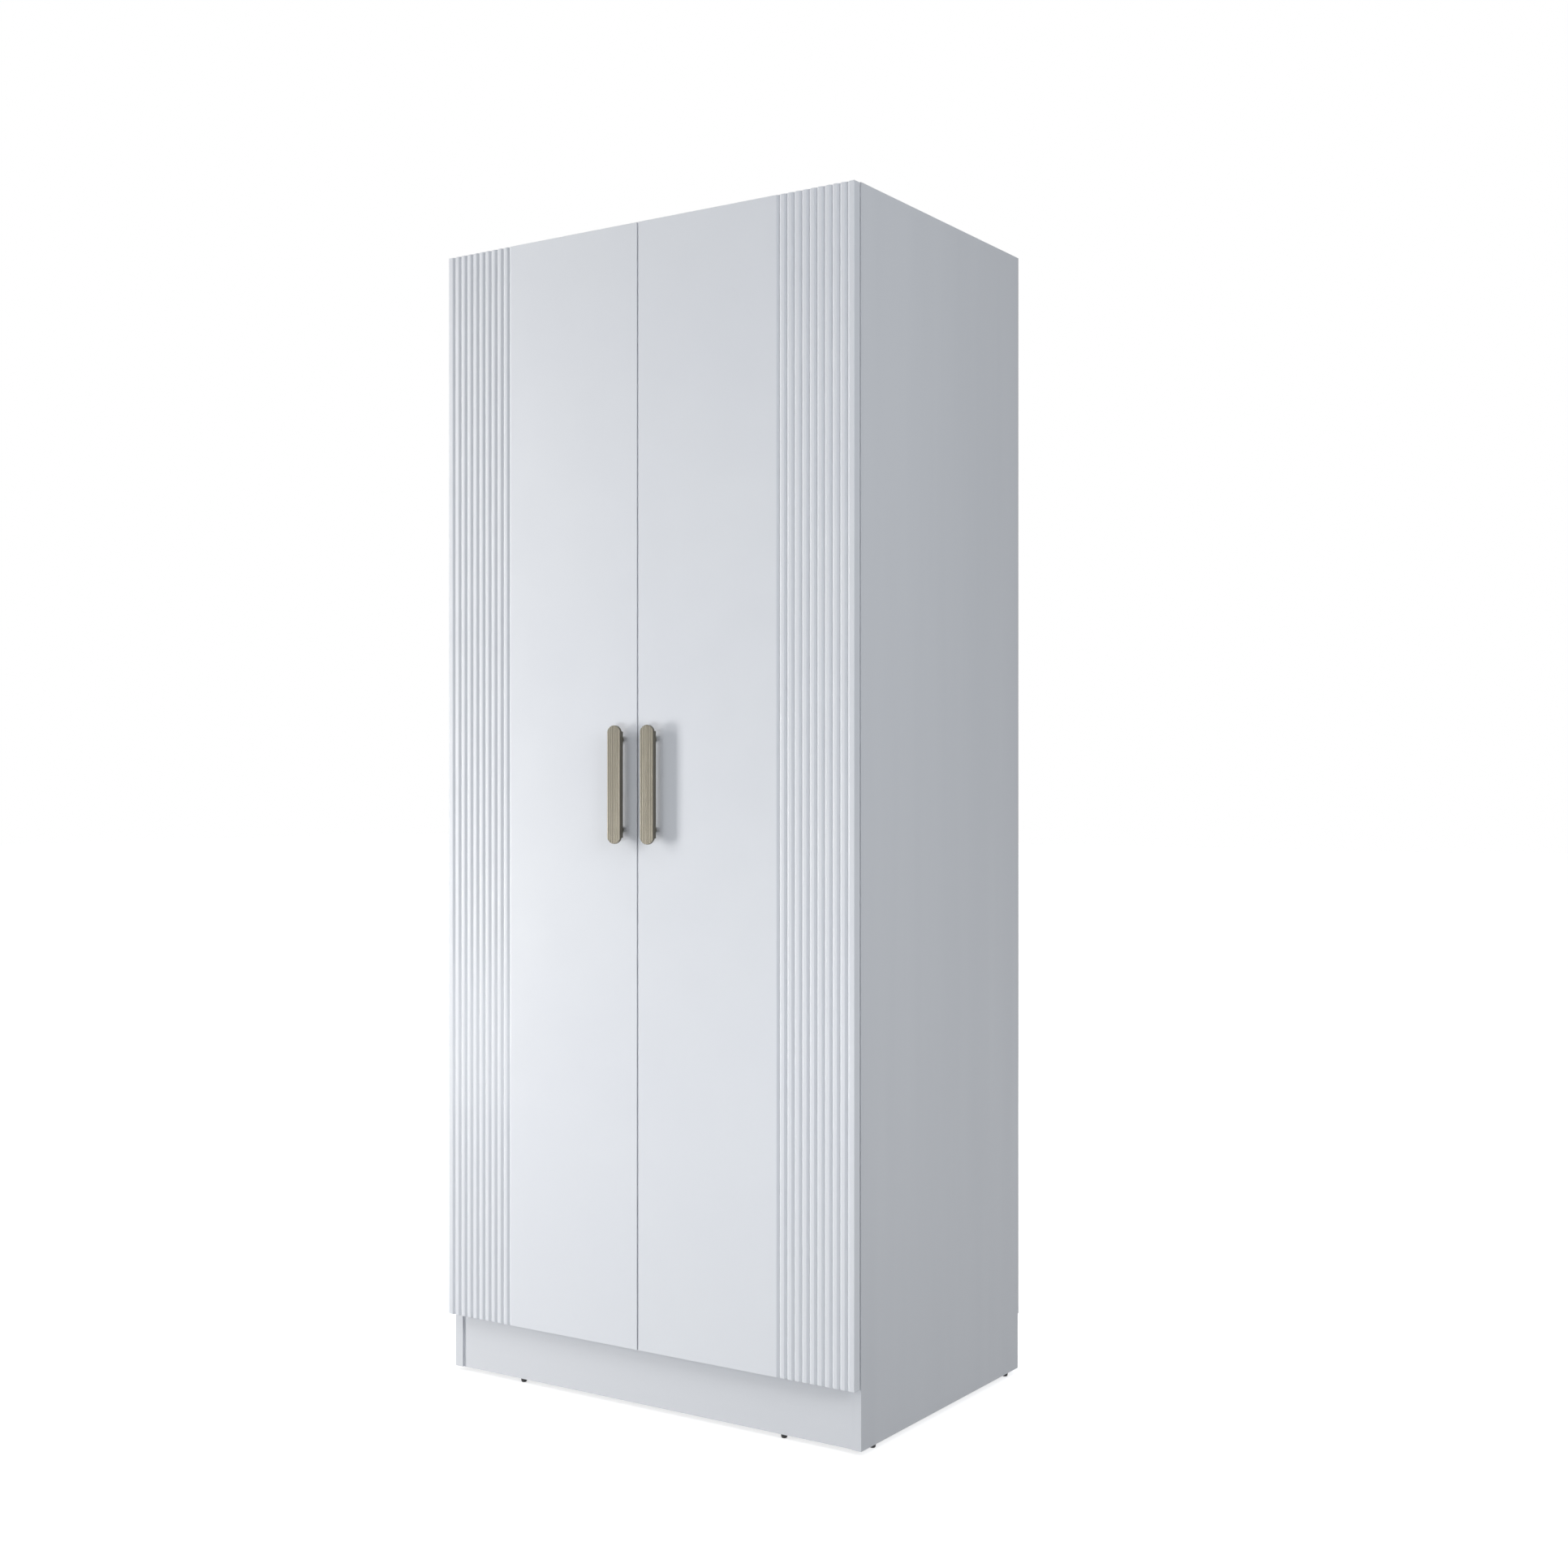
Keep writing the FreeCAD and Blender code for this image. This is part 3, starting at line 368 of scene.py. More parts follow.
def rubber_look():
    look = Look("clear_rubber", roughness=0.25)
    look.shader.inputs["Transmission Weight"].default_value = 0.55
    look.tint((0.78, 0.81, 0.84), (0.86, 0.88, 0.90), look.noise(200))
    look.gloss(look.noise(400), 0.2, 0.34)
    look.bump(look.noise(700), 0.00003, 0.5)
    return look.material


UPRIGHT_GRAIN = (1.0, 1.0, 0.045)
LEVEL_GRAIN = (0.045, 1.0, 1.0)
LOOKS = {
    "melamine_board": board_look("melamine_board", UPRIGHT_GRAIN),
    "melamine_level": board_look("melamine_level", LEVEL_GRAIN),
    "door_lacquer": lacquer_look(),
    "hardboard": hardboard_look(),
    "white_plastic": plastic_look("white_plastic", (0.74, 0.75, 0.77), (0.80, 0.81, 0.82), 0.42, 800),
    "black_plastic": plastic_look("black_plastic", (0.012, 0.012, 0.013), (0.03, 0.03, 0.032), 0.4, 900),
    "handle_metal": brushed_look("handle_metal", (0.155, 0.143, 0.115), (0.19, 0.175, 0.142), 0.42,
                                 (1, 1, 0.03), 0.1),
    "nickel_steel": brushed_look("nickel_steel", (0.56, 0.55, 0.52), (0.66, 0.65, 0.62), 0.24, (1, 0.1, 1)),
    "zinc_steel": brushed_look("zinc_steel", (0.52, 0.54, 0.57), (0.66, 0.67, 0.69), 0.32, (1, 1, 1)),
    "die_cast_zinc": cast_look(),
    "chromed_tube": brushed_look("chromed_tube", (0.70, 0.70, 0.71), (0.78, 0.78, 0.79), 0.12, (0.02, 1, 1)),
    "beech": beech_look(),
    "clear_rubber": rubber_look(),
}
LEVEL_BOARDS = ("top_panel", "bottom_panel", "hat_shelf", "lower_shelf", "plinth_front", "plinth_rear")


# ---- mesh building -----------------------------------------------------------------------------------

def rounded(corners, steps=5):
    """A plane outline whose corners (x, y, radius) are turned into arcs."""
    outline = []
    for number, (x, y, radius) in enumerate(corners):
        here = Vector((x, y))
        before = (Vector(corners[number - 1][:2]) - here).normalized()
        after = (Vector(corners[(number + 1) % len(corners)][:2]) - here).normalized()
        half = before.angle(after) / 2
        centre = here + (before + after).normalized() * radius / math.sin(half)
        start = here + before * radius / math.tan(half) - centre
        end = here + after * radius / math.tan(half) - centre
        turn = math.atan2(start.x * end.y - start.y * end.x, start.dot(end))
        for step in range(steps + 1):
            angle = turn * step / steps
            outline.append(centre + Vector((start.x * math.cos(angle) - start.y * math.sin(angle),
                                            start.x * math.sin(angle) + start.y * math.cos(angle))))
    return outline


def shrunk(outline, inset):
    """The outline moved inwards; it runs counter-clockwise."""
    moved = []
    for number, here in enumerate(outline):
        before = (here - outline[number - 1]).normalized()
        after = (outline[(number + 1) % len(outline)] - here).normalized()
        run = (before + after).normalized()
        moved.append(here + Vector((-run.y, run.x)) * inset / max(run.dot(after), TIGHTEST_TURN))
    return moved


def oblong(left, bottom, right, top, corner):
    """A box outline's corners, for rounded()."""
    return [(left, bottom, corner), (right, bottom, corner), (right, top, corner), (left, top, corner)]


def bands(bm, rings):
    """Faces between closed rings of equal length."""
    for lower, upper in zip(rings, rings[1:]):
        for number in range(len(lower)):
            following = (number + 1) % len(lower)
            bm.faces.new((lower[number], lower[following], upper[following], upper[number]))


def prism(bm, outline, low, high, soft=0.0, axes=ALONG_Z, at=(0, 0, 0)):
    """A solid on an outline, from low to high along the third axis, with rounded ends."""
    levels = []
    if soft:
        for step in range(PRISM_STEPS + 1):
            angle = math.pi / 2 * step / PRISM_STEPS
            levels.append((high - soft + soft * math.sin(angle), soft * (1 - math.cos(angle))))
    else:
        levels.append((high, 0))
    ends = [(low + high - level, inset) for level, inset in reversed(levels)]
    rings = []
    for level, inset in ends + levels:
        line = shrunk(outline, inset) if inset else outline
        rings.append([bm.verts.new(axes @ Vector((x, y, level)) + Vector(at)) for x, y in line])
    bands(bm, rings)
    bm.faces.new(list(reversed(rings[0])))
    bm.faces.new(rings[-1])


def lathe(bm, profile, at, axes=ALONG_Z, segments=48):
    """A turned solid. The profile's points are (radius, height), and it starts and ends on the axis."""
    turns = [math.tau * number / segments for number in range(segments)]
    rings = []
    for radius, height in profile[1:-1]:
        places = [Vector((radius * math.cos(turn), radius * math.sin(turn), height)) for turn in turns]
        rings.append([bm.verts.new(axes @ place + Vector(at)) for place in places])
    first = bm.verts.new(axes @ Vector((0, 0, profile[0][1])) + Vector(at))
    last = bm.verts.new(axes @ Vector((0, 0, profile[-1][1])) + Vector(at))
    bands(bm, rings)
    for number in range(segments):
        following = (number + 1) % segments
        bm.faces.new((rings[0][following], rings[0][number], first))
        bm.faces.new((rings[-1][number], rings[-1][following], last))


def quarter(centre, radius, start, end, steps=5):
    """Profile points on an arc, from one angle to another in degrees."""
    return [(centre[0] + radius * math.cos(math.radians(start + (end - start) * step / steps)),
             centre[1] + radius * math.sin(math.radians(start + (end - start) * step / steps)))
            for step in range(steps + 1)]


def to_object(bm, name):
    mesh = bpy.data.meshes.new(name)
    bmesh.ops.recalc_face_normals(bm, faces=bm.faces)
    bm.to_mesh(mesh)
    bm.free()
    made = bpy.data.objects.new(name, mesh)
    bpy.context.scene.collection.objects.link(made)
    return made


def carve(made, bm):
    """Take the shapes in bm out of an object for good."""
    tool = to_object(bm, "tool")
    cutting = made.modifiers.new("carve", "BOOLEAN")
    cutting.operation = "DIFFERENCE"
    cutting.solver = "EXACT"
    cutting.use_self = True
    cutting.object = tool
    bpy.context.view_layer.update()
    result = bpy.data.meshes.new_from_object(made.evaluated_get(bpy.context.evaluated_depsgraph_get()))
    made.modifiers.remove(cutting)
    made.data = result
    bpy.data.objects.remove(tool)


def smooth(made):
    """Smooth shading that keeps sharp edges sharp and flat faces flat."""
    made.data.shade_smooth()
    made.data.set_sharp_from_angle(angle=math.radians(SHARP_ANGLE))
    weighted = made.modifiers.new("weighted", "WEIGHTED_NORMAL")
    weighted.keep_sharp = True
    weighted.weight = NORMAL_WEIGHT


def complete(made, body, slot, node):
    """Give a piece its finish, put it on its body, and let it stand for a CAD node."""
    smooth(made)
    made.data.materials.clear()
    made.data.materials.append(LOOKS[slot])
    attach(made, body)
    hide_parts(node)


def solids(name):
    """The boxes of a CAD node's separate solids, lowest first."""
    bm = bmesh.new()
    bm.from_mesh(NODES[name].data)
    bmesh.ops.remove_doubles(bm, verts=bm.verts, dist=WELD_DISTANCE)
    left = set(bm.verts)
    boxes = []
    while left:
        spread = [left.pop()]
        island = []
        while spread:
            vert = spread.pop()
            island.append(vert.co.copy())
            for edge in vert.link_edges:
                other = edge.other_vert(vert)
                if other in left:
                    left.remove(other)
                    spread.append(other)
        low = Vector([min(co[axis] for co in island) for axis in range(3)])
        high = Vector([max(co[axis] for co in island) for axis in range(3)])
        boxes.append((low, high))
    bm.free()
    return sorted(boxes, key=lambda pair: (round(pair[0].z, 4), pair[0].x, pair[0].y))


# ---- carried-over CAD nodes --------------------------------------------------------------------------

def refine(name, soft):
    """A CAD node keeps its shape, and modifiers give its edges the small radius of a real one."""
    made = NODES[name]
    weld = made.modifiers.new("weld", "WELD")
    weld.merge_threshold = WELD_DISTANCE
    flat = made.modifiers.new("flat", "DECIMATE")
    flat.decimate_type = "DISSOLVE"
    flat.angle_limit = math.radians(FLAT_ANGLE)
    bevel = made.modifiers.new("bevel", "BEVEL")
    bevel.width = soft
    bevel.segments = BEVEL_SEGMENTS
    bevel.limit_method = "ANGLE"
    bevel.angle_limit = math.radians(SHARP_ANGLE)
    bevel.use_clamp_overlap = True
    weighted = made.modifiers.new("weighted", "WEIGHTED_NORMAL")
    weighted.keep_sharp = False
    for face in made.data.polygons:
        face.use_smooth = True


def paint_nodes():
    """Every CAD node gets its slot's look. The grain of level boards runs from side to side."""
    for row in frame["record"]["subparts"]:
        node = row["node"]
        look = "melamine_level" if node in LEVEL_BOARDS else row["material_slot"]
        NODES[node].data.materials.clear()
        NODES[node].data.materials.append(LOOKS[look])


def carry_over():
    """The CAD nodes that stay, with the size of their edges in millimetres."""
    edges = {
        "side_panel_left": 0.9, "side_panel_right": 0.9, "top_panel": 0.7, "bottom_panel": 0.7,
        "hat_shelf": 0.8, "lower_shelf": 0.8, "plinth_front": 0.7, "plinth_rear": 0.7,
        "back_panel_left": 0.15, "back_panel_right": 0.15, "back_joiner": 0.3, "hanging_rail": 0.2,
        "cam_locks": 0.3, "cam_bolts": 0.3, "dowels": 0.6, "rail_sockets": 0.6, "wall_brackets": 0.5,
    }
    for side in SIDES:
        edges.update({"hinge_arms_" + side: 0.4, "arm_pins_" + side: 0.2, "hinge_links_" + side: 0.3,
                      "cup_pins_" + side: 0.2, "hinge_springs_" + side: 0.15})
    for name, soft in edges.items():
        refine(name, soft * MM)


# ---- doors -------------------------------------------------------------------------------------------

def door(side):
    """A board whose V-grooves have rounded shoulders, with bores for the cups and all its screws."""
    low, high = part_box("door_panel_" + side)
    outer = -1 if side == "left" else 1
    edge = low.x if side == "left" else high.x
    centres = sorted(edge - outer * (FIRST_GROOVE + number * GROOVE_PITCH) for number in range(GROOVES))
    corners = [(low.x, high.y, DOOR_SOFT), (low.x, low.y, DOOR_SOFT)]
    for centre in centres:
        corners += [(centre - GROOVE_HALF, low.y, SHOULDER_SOFT),
                    (centre, low.y + GROOVE_DEPTH, VALLEY_SOFT),
                    (centre + GROOVE_HALF, low.y, SHOULDER_SOFT)]
    corners += [(high.x, low.y, DOOR_SOFT), (high.x, high.y, DOOR_SOFT)]
    bm = bmesh.new()
    prism(bm, rounded(corners), low.z, high.z, DOOR_END_SOFT)
    made = to_object(bm, "door_face_" + side)
    bores = bmesh.new()
    for cup_low, cup_high in solids("hinge_cups_" + side):
        middle = (cup_low.z + cup_high.z) / 2
        centre_x = cup_low.x + CUP_RADIUS if side == "left" else cup_high.x - CUP_RADIUS
        bore(bores, CUP_RADIUS + PLAY, (centre_x, high.y + BORE_LEAD, middle), cup_low.y - PLAY)
    for name, radius in (("cup_screws_", CUP_SCREW_BORE), ("handle_screws_", HANDLE_BORE)):
        for screw_low, screw_high in solids(name + side):
            middle = (screw_low + screw_high) / 2
            end_y = max(screw_low.y, low.y - BORE_LEAD) - PLAY
            bore(bores, radius, (middle.x, high.y + BORE_LEAD, middle.z), end_y)
    carve(made, bores)
    complete(made, "door_" + side, "door_lacquer", "door_panel_" + side)


def bore(bm, radius, start, end_y):
    """A round cutter from a point towards the front."""
    lathe(bm, [(0, 0), (radius, 0), (radius, start[1] - end_y), (0, start[1] - end_y)], start, ALONG_FRONT)


# ---- handles -----------------------------------------------------------------------------------------

def handle(side):
    """A plate with seven convex reeds and curved ends, on a narrower body behind it."""
    low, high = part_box("handle_bar_" + side)
    half_wide = (high.x - low.x) / 2
    half_tall = (high.z - low.z) / 2
    centre = (low + high) / 2
    end_radius = (half_wide ** 2 + END_RISE ** 2) / (2 * END_RISE)
    bm = bmesh.new()
    columns = []
    for number in range(REEDS * REED_STEPS + 1):
        phase = number / REED_STEPS % 1
        across = -half_wide + 2 * half_wide * number / (REEDS * REED_STEPS)
        dip = REED_HEIGHT * (1 - math.sqrt(max(0, 1 - (2 * phase - 1) ** 2 * REED_FULLNESS)))
        bow = end_radius - math.sqrt(end_radius ** 2 - across ** 2)
        columns.append((across, dip, half_tall - bow - dip * REED_END_DIP))
    upwards = range(GRIP_EDGE_STEPS + 1)
    rings = []
    for level, steps in ((-1, upwards), (1, reversed(upwards))):
        for step in steps:
            angle = math.pi / 2 * step / GRIP_EDGE_STEPS
            back_by = GRIP_EDGE * (1 - math.sin(angle))
            short_by = GRIP_EDGE * (1 - math.cos(angle))
            rings.append([bm.verts.new((centre.x + across, low.y + dip + back_by,
                                        centre.z + level * (reach - short_by)))
                          for across, dip, reach in columns])
    for lower, upper in zip(rings, rings[1:]):
        for number in range(len(columns) - 1):
            bm.faces.new((lower[number], lower[number + 1], upper[number + 1], upper[number]))
    foot, head = [[bm.verts.new((centre.x + across, low.y + GRIP_THICK, centre.z + level * reach))
                   for across, dip, reach in columns] for level in (-1, 1)]
    for number in range(len(columns) - 1):
        for lower, upper in ((head, foot), (foot, rings[0]), (rings[-1], head)):
            bm.faces.new((lower[number], lower[number + 1], upper[number + 1], upper[number]))
    for end in (0, -1):
        bm.faces.new([ring[end] for ring in rings] + [head[end], foot[end]])
    body = oblong(-half_wide, -half_tall + END_RISE, half_wide, half_tall - END_RISE, BODY_CORNER)
    prism(bm, rounded(body), 0, high.y - low.y - GRIP_THICK + BODY_OVERLAP, BODY_SOFT, ALONG_FRONT,
          (centre.x, high.y, centre.z))
    made = to_object(bm, "handle_grip_" + side)
    complete(made, "door_" + side, "handle_metal", "handle_bar_" + side)


def handle_posts(side):
    """Turned posts with a foot on the door and a flare under the grip."""
    bm = bmesh.new()
    for low, high in solids("handle_posts_" + side):
        middle = (low + high) / 2
        radius = (high.x - low.x) / 2
        tall = high.y - low.y
        waist = radius - POST_WAIST
        profile = [(0, 0)]
        profile += quarter((radius - POST_FOOT_SOFT, POST_FOOT_SOFT), POST_FOOT_SOFT, -90, 0)
        profile.append((radius, POST_END))
        profile += quarter((radius, POST_END + POST_WAIST), POST_WAIST, 270, 180)
        profile.append((waist, tall - POST_END))
        profile += quarter((radius, tall - POST_END), POST_WAIST, 180, 90)
        profile += [(radius, tall), (0, tall)]
        lathe(bm, profile, (middle.x, high.y, middle.z), ALONG_FRONT)
    made = to_object(bm, "handle_feet_" + side)
    complete(made, "door_" + side, "handle_metal", "handle_posts_" + side)


# ---- glides ------------------------------------------------------------------------------------------

def glides(name, node):
    """Moulded domed feet with a thin collar against the board."""
    bm = bmesh.new()
    for low, high in solids(node):
        middle = (low + high) / 2
        radius = (high.x - low.x) / 2
        profile = [(0, 0)]
        profile += quarter((radius - GLIDE_DOME_INSET, GLIDE_DOME), GLIDE_DOME, -90, -10)
        profile.append((radius - GLIDE_NECK, GLIDE_TALL - GLIDE_COLLAR_TALL))
        soft = GLIDE_COLLAR_SOFT
        profile += quarter((radius - soft, GLIDE_TALL - soft), soft, -90, 90)
        profile.append((0, GLIDE_TALL))
        lathe(bm, profile, (middle.x, middle.y, low.z))
    made = to_object(bm, name)
    complete(made, "carcass", "black_plastic", node)


# ---- screws ------------------------------------------------------------------------------------------

def screw_mesh(shank, length, head, head_tall):
    """A pan-head screw with a cross recess. Its head stands on the origin and its shank goes down."""
    bm = bmesh.new()
    profile = [(0, -length), (shank * TIP_WIDE, -length + shank * TIP_TALL),
               (shank, -length + shank * POINT_TALL), (shank, -SHANK_STEP), (head, 0)]
    for step in range(HEAD_STEPS + 1):
        angle = math.pi / 2 * step / HEAD_STEPS
        profile.append((head * (HEAD_FLAT + (1 - HEAD_FLAT) * math.cos(angle)),
                        head_tall * (HEAD_WALL + (1 - HEAD_WALL) * math.sin(angle))))
    profile.append((0, head_tall))
    lathe(bm, profile, (0, 0, 0), segments=SCREW_SEGMENTS)
    made = to_object(bm, "screw")
    recess = bmesh.new()
    wide = head * RECESS_WIDE
    long = head * RECESS_LONG
    for half_x, half_y in ((long, wide), (wide, long)):
        cross = [Vector(corner[:2]) for corner in oblong(-half_x, -half_y, half_x, half_y, 0)]
        prism(recess, cross, head_tall * RECESS_FLOOR, head_tall * 2)
    carve(made, recess)
    mesh = made.data
    bpy.data.objects.remove(made)
    return mesh


def screws(name, node, body, axes, head_tall, right_axes=None):
    """Screws of one kind. axes turns a screw's own +Z, which points out of its head.

    right_axes does the same for the screws on the right, where they differ.
    """
    places = solids(node)
    out = axes @ Vector((0, 0, 1))
    axis = max(range(3), key=lambda number: abs(out[number]))
    low, high = places[0]
    long = high[axis] - low[axis]
    across = 0 if axis else 1
    head = (high[across] - low[across]) / 2
    part = screw_mesh(head / HEAD_TO_SHANK, long - head_tall, head, head_tall)
    bm = bmesh.new()
    for low, high in places:
        turned = right_axes if right_axes and low.x > 0 else axes
        at = (low + high) / 2
        at[axis] = high[axis] - head_tall if turned[axis][2] > 0 else low[axis] + head_tall
        copy = part.copy()
        copy.transform(Matrix.Translation(at) @ turned.to_4x4())
        bm.from_mesh(copy)
        bpy.data.meshes.remove(copy)
    bpy.data.meshes.remove(part)
    made = to_object(bm, name)
    complete(made, body, "zinc_steel", node)


# ---- hinges ------------------------------------------------------------------------------------------

def cup_mesh(outward):
    """A pressed cup with a rounded floor and two screw tabs. outward is the sign of X towards the edge."""
    bm = bmesh.new()
    inner = CUP_RADIUS - CUP_WALL
    lip = CUP_WALL / 2
    soft = CUP_FLOOR_SOFT
    profile = [(0, -CUP_DEPTH)]
    profile += quarter((CUP_RADIUS - soft, soft - CUP_DEPTH), soft, -90, 0)
    profile += quarter((CUP_RADIUS - lip, -lip), lip, 0, 180, CUP_LIP_STEPS)
    profile += quarter((inner - soft, CUP_WALL + soft - CUP_DEPTH), soft, 0, -90)
    profile.append((0, CUP_WALL - CUP_DEPTH))
    lathe(bm, profile, (0, 0, 0), ALONG_BACK, CUP_SEGMENTS)
    made = to_object(bm, "cup")
    near = TAB_NEAR if outward > 0 else TAB_FAR
    far = -TAB_FAR if outward > 0 else -TAB_NEAR
    tabs = bmesh.new()
    tab = oblong(-near, -TAB_HALF, -far, TAB_HALF, TAB_CORNER)
    prism(tabs, rounded(tab), TAB_LOW, TAB_HIGH, TAB_SOFT, ALONG_BACK)
    plate = to_object(tabs, "tabs")
    hollow = bmesh.new()
    mouth = [(0, MOUTH_LOW), (inner + PLAY, MOUTH_LOW), (inner + PLAY, MOUTH_FLARE_START),
             (inner + MOUTH_FLARE, MOUTH_HIGH), (0, MOUTH_HIGH)]
    lathe(hollow, mouth, (0, 0, 0), ALONG_BACK, CUP_SEGMENTS)
    carve(plate, hollow)
    bm = bmesh.new()
    bm.from_mesh(made.data)
    bm.from_mesh(plate.data)
    mesh = bpy.data.meshes.new("cup")
    bm.to_mesh(mesh)
    bm.free()
    for scrap in (made, plate):
        bpy.data.objects.remove(scrap)
    return mesh


def copies(name, mesh, places):
    """One object made of the same mesh at several points."""
    bm = bmesh.new()
    for at in places:
        copy = mesh.copy()
        copy.transform(Matrix.Translation(at))
        bm.from_mesh(copy)
        bpy.data.meshes.remove(copy)
    return to_object(bm, name)


def hinge_cups(side):
    outward = -1 if side == "left" else 1
    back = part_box("door_panel_" + side)[1].y
    places = []
    for low, high in solids("hinge_cups_" + side):
        centre_x = low.x + CUP_RADIUS if side == "left" else high.x - CUP_RADIUS
        places.append(Vector((centre_x, back, (low.z + high.z) / 2)))
    made = copies("cups_" + side, cup_mesh(outward), places)
    complete(made, "door_" + side, "nickel_steel", "hinge_cups_" + side)


def hinge_plates(side):
    """Cast plates with round ends and a raised bridge for the arm."""
    bm = bmesh.new()
    inward = 1 if side == "left" else -1
    axes = ALONG_X if side == "left" else ALONG_LEFT
    screws_low, screws_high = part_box("plate_screws_" + side)
    y = (screws_low.y + screws_high.y) / 2
    for low, high in solids("hinge_plates_" + side):
        seat = low.x if side == "left" else high.x
        tall = high.x - low.x
        middle = (low.z + high.z) / 2
        half_z = (high.z - low.z) / 2
        base = oblong(-MOUNT_HALF, -half_z, MOUNT_HALF, half_z, MOUNT_CORNER)
        prism(bm, rounded(base, ROUND_END_STEPS), 0, MOUNT_TALL, MOUNT_SOFT, axes, (seat, y, middle))
        start, end = sorted(((low.y - y) * inward, (high.y - y) * inward))
        bridge = oblong(start, -BRIDGE_HALF, end, BRIDGE_HALF, BRIDGE_CORNER)
        prism(bm, rounded(bridge), BRIDGE_LOW, tall, BRIDGE_SOFT, axes, (seat, y, middle))
    made = to_object(bm, "mounting_plates_" + side)
    complete(made, "carcass", "nickel_steel", "hinge_plates_" + side)


# ---- small fittings ----------------------------------------------------------------------------------

def shelf_supports():
    """Turned pegs, each with a flat spoon under the shelf."""
    bm = bmesh.new()
    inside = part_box("side_panel_left")[1].x
    for low, high in solids("shelf_pins"):
        left = low.x < 0
        axes = ALONG_X if left else ALONG_LEFT
        face = inside if left else -inside
        middle = (low + high) / 2
        reach = abs((high.x if left else low.x) - face)
        profile = [(0, -PEG_DEEP), (PEG_RADIUS - PEG_TIP, -PEG_DEEP), (PEG_RADIUS, PEG_TIP - PEG_DEEP),
                   (PEG_RADIUS, 0), (PEG_RADIUS, reach - PEG_END), (PEG_RADIUS - PEG_END, reach), (0, reach)]
        lathe(bm, profile, (face, middle.y, high.z - PEG_RADIUS), axes, PEG_SEGMENTS)
        spoon = [(-SPOON_HALF, 0, SPOON_ROOT), (SPOON_HALF, 0, SPOON_ROOT),
                 (SPOON_HALF, SPOON_LONG, SPOON_ROUND), (-SPOON_HALF, SPOON_LONG, SPOON_ROUND)]
        outline = rounded(spoon, ROUND_END_STEPS)
        turn = UP_TO_RIGHT if left else UP_TO_LEFT
        prism(bm, outline, -SPOON_THICK, 0, SPOON_SOFT, turn, (face, middle.y, high.z))
    made = to_object(bm, "shelf_supports")
    complete(made, "carcass", "nickel_steel", "shelf_pins")


def nails():
    """Round-headed panel pins through the back."""
    bm = bmesh.new()
    for low, high in solids("back_nails"):
        middle = (low + high) / 2
        head = (high.x - low.x) / 2
        long = high.y - low.y - NAIL_HEAD
        profile = [(0, -long), (NAIL_SHANK, 2 * NAIL_SHANK - long), (NAIL_SHANK, 0), (head, 0)]
        profile += [(head * wide, NAIL_HEAD * tall) for wide, tall in NAIL_DOME]
        profile.append((0, NAIL_HEAD))
        lathe(bm, profile, (middle.x, high.y - NAIL_HEAD, middle.z), ALONG_BACK, NAIL_SEGMENTS)
    made = to_object(bm, "panel_pins")
    complete(made, "carcass", "zinc_steel", "back_nails")


def buffers(side):
    """Clear domed bumpers on the inner face of the door."""
    bm = bmesh.new()
    for low, high in solids("door_buffers_" + side):
        middle = (low + high) / 2
        radius = (high.x - low.x) / 2
        tall = high.y - low.y
        profile = [(0, 0), (radius, 0), (radius, tall * BUFFER_RIM)]
        for step in range(1, BUFFER_STEPS):
            angle = math.pi / 2 * step / BUFFER_STEPS
            height = BUFFER_RIM + (1 - BUFFER_RIM) * math.sin(angle)
            profile.append((radius * math.cos(angle), tall * height))
        profile.append((0, tall))
        lathe(bm, profile, (middle.x, low.y, middle.z), ALONG_BACK, BUFFER_SEGMENTS)
    made = to_object(bm, "bumpers_" + side)
    complete(made, "door_" + side, "clear_rubber", "door_buffers_" + side)


# ---- stage -------------------------------------------------------------------------------------------

def floor():
    """A pale floor that glows, so that it shows hardly any shadow, and lights nothing around it."""
    bm = bmesh.new()
    corners = [(-FLOOR_HALF, -FLOOR_HALF, 0), (FLOOR_HALF, -FLOOR_HALF, 0), (FLOOR_HALF, FLOOR_HALF, 0),
               (-FLOOR_HALF, FLOOR_HALF, 0)]
    bm.faces.new([bm.verts.new(corner) for corner in corners])
    made = to_object(bm, "floor")
    look = Look("floor", roughness=0.9, specular=0.1)
    look.tint((0.48, 0.49, 0.50), (0.50, 0.51, 0.52), look.noise(0.8))
    look.shader.inputs["Emission Color"].default_value = (1, 1, 1, 1)
    look.shader.inputs["Emission Strength"].default_value = FLOOR_GLOW
    made.data.materials.append(look.material)
    made.visible_diffuse = False


def area_light(name, at, target, wide, tall, power, colour):
    lamp = bpy.data.lights.new(name, "AREA")
    lamp.shape = "RECTANGLE"
    lamp.size = wide
    lamp.size_y = tall
    lamp.energy = power
    lamp.color = colour
    made = bpy.data.objects.new(name, lamp)
    made.location = at
    made.rotation_euler = (Vector(target) - Vector(at)).to_track_quat("-Z", "Y").to_euler()
    bpy.context.scene.collection.objects.link(made)


def overhead():
    """A wide soft light from straight above, the same all over the floor."""
    lamp = bpy.data.lights.new("overhead", "SUN")
    lamp.angle = math.radians(OVERHEAD_SPREAD)
    lamp.energy = OVERHEAD_STRENGTH
    bpy.context.scene.collection.objects.link(bpy.data.objects.new("overhead", lamp))


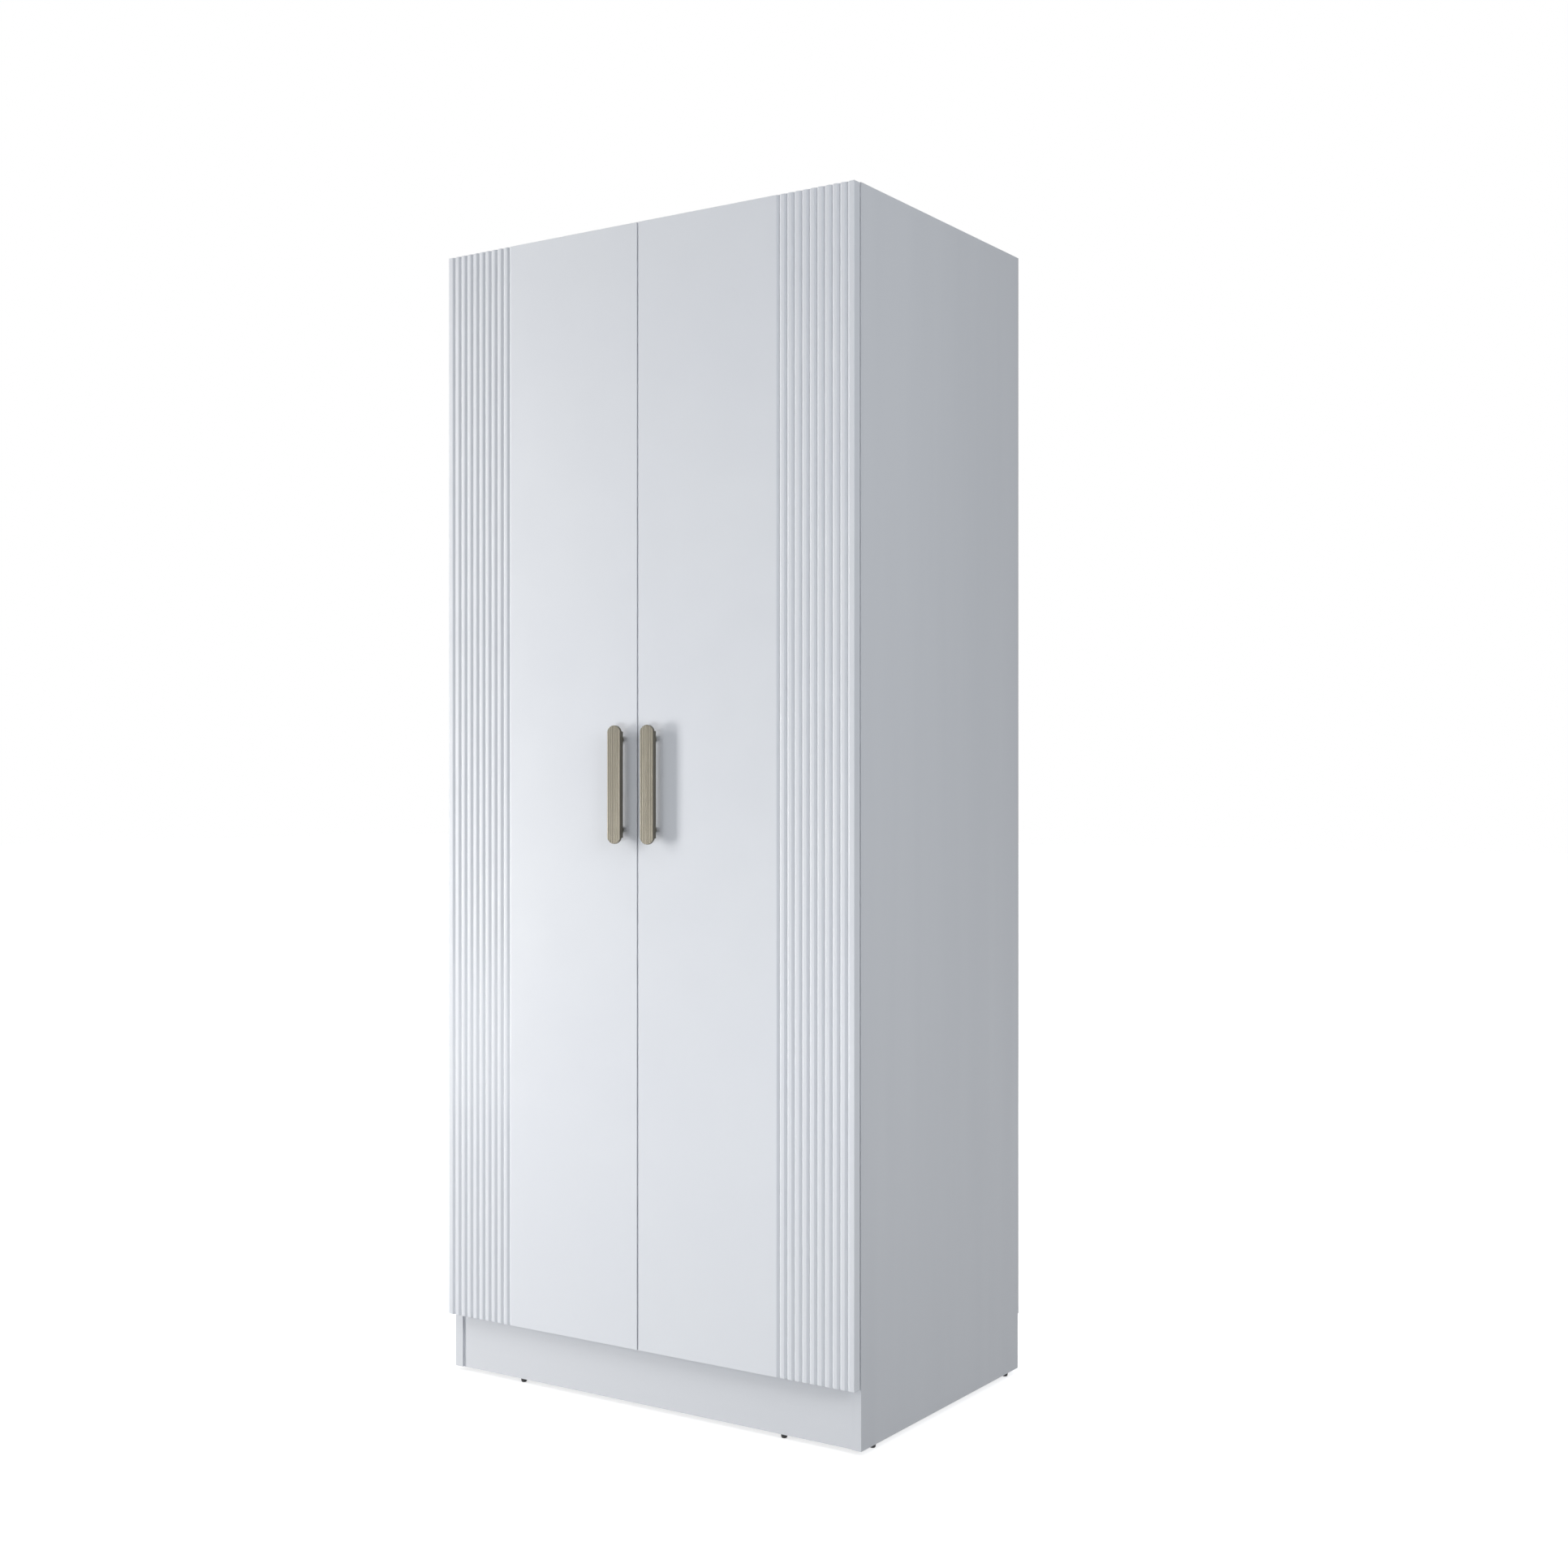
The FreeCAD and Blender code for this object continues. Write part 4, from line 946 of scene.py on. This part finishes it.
def world():
    """White paper behind the object, and a dimmer even light around it."""
    made = bpy.data.worlds.new("studio")
    bpy.context.scene.world = made
    made.use_nodes = True
    nodes = made.node_tree.nodes
    links = made.node_tree.links
    around = nodes["Background"]
    around.inputs["Color"].default_value = (*AROUND_COLOUR, 1)
    around.inputs["Strength"].default_value = AROUND_STRENGTH
    paper = nodes.new("ShaderNodeBackground")
    paper.inputs["Color"].default_value = (1, 1, 1, 1)
    seen = nodes.new("ShaderNodeLightPath")
    mix = nodes.new("ShaderNodeMixShader")
    links.new(seen.outputs["Is Camera Ray"], mix.inputs["Fac"])
    links.new(around.outputs["Background"], mix.inputs[1])
    links.new(paper.outputs["Background"], mix.inputs[2])
    links.new(mix.outputs["Shader"], nodes["World Output"].inputs["Surface"])


def camera():
    lens = bpy.data.cameras.new("camera")
    lens.lens = LENS
    lens.sensor_width = SENSOR
    made = bpy.data.objects.new("camera", lens)
    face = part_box("door_panel_left")[0].y
    made.location = (CAMERA_X, face - CAMERA_DISTANCE, CAMERA_HEIGHT)
    made.rotation_euler = (math.radians(90), 0, math.radians(CAMERA_TURN))
    bpy.context.scene.collection.objects.link(made)
    bpy.context.scene.camera = made


paint_nodes()
carry_over()
for side in SIDES:
    toward_middle = ALONG_X if side == "left" else ALONG_LEFT
    door(side)
    handle(side)
    handle_posts(side)
    screws("handle_bolts_" + side, "handle_screws_" + side, "door_" + side, ALONG_BACK, HANDLE_HEAD)
    screws("cup_fixings_" + side, "cup_screws_" + side, "door_" + side, ALONG_BACK, CUP_HEAD)
    screws("plate_fixings_" + side, "plate_screws_" + side, "carcass", toward_middle, PLATE_HEAD)
    screws("arm_fixings_" + side, "arm_screws_" + side, "carcass", toward_middle, ARM_HEAD)
    hinge_cups(side)
    hinge_plates(side)
    buffers(side)
screws("rail_fixings", "rail_screws", "carcass", ALONG_X, RAIL_HEAD, ALONG_LEFT)
screws("bracket_fixings", "bracket_screws", "carcass", ALONG_DOWN, BRACKET_HEAD)
glides("side_feet", "side_glides")
glides("plinth_feet", "plinth_glides")
shelf_supports()
nails()
floor()
world()
for lamp in LAMPS:
    area_light(*lamp)
overhead()
camera()
bpy.context.scene.view_settings.view_transform = "Standard"
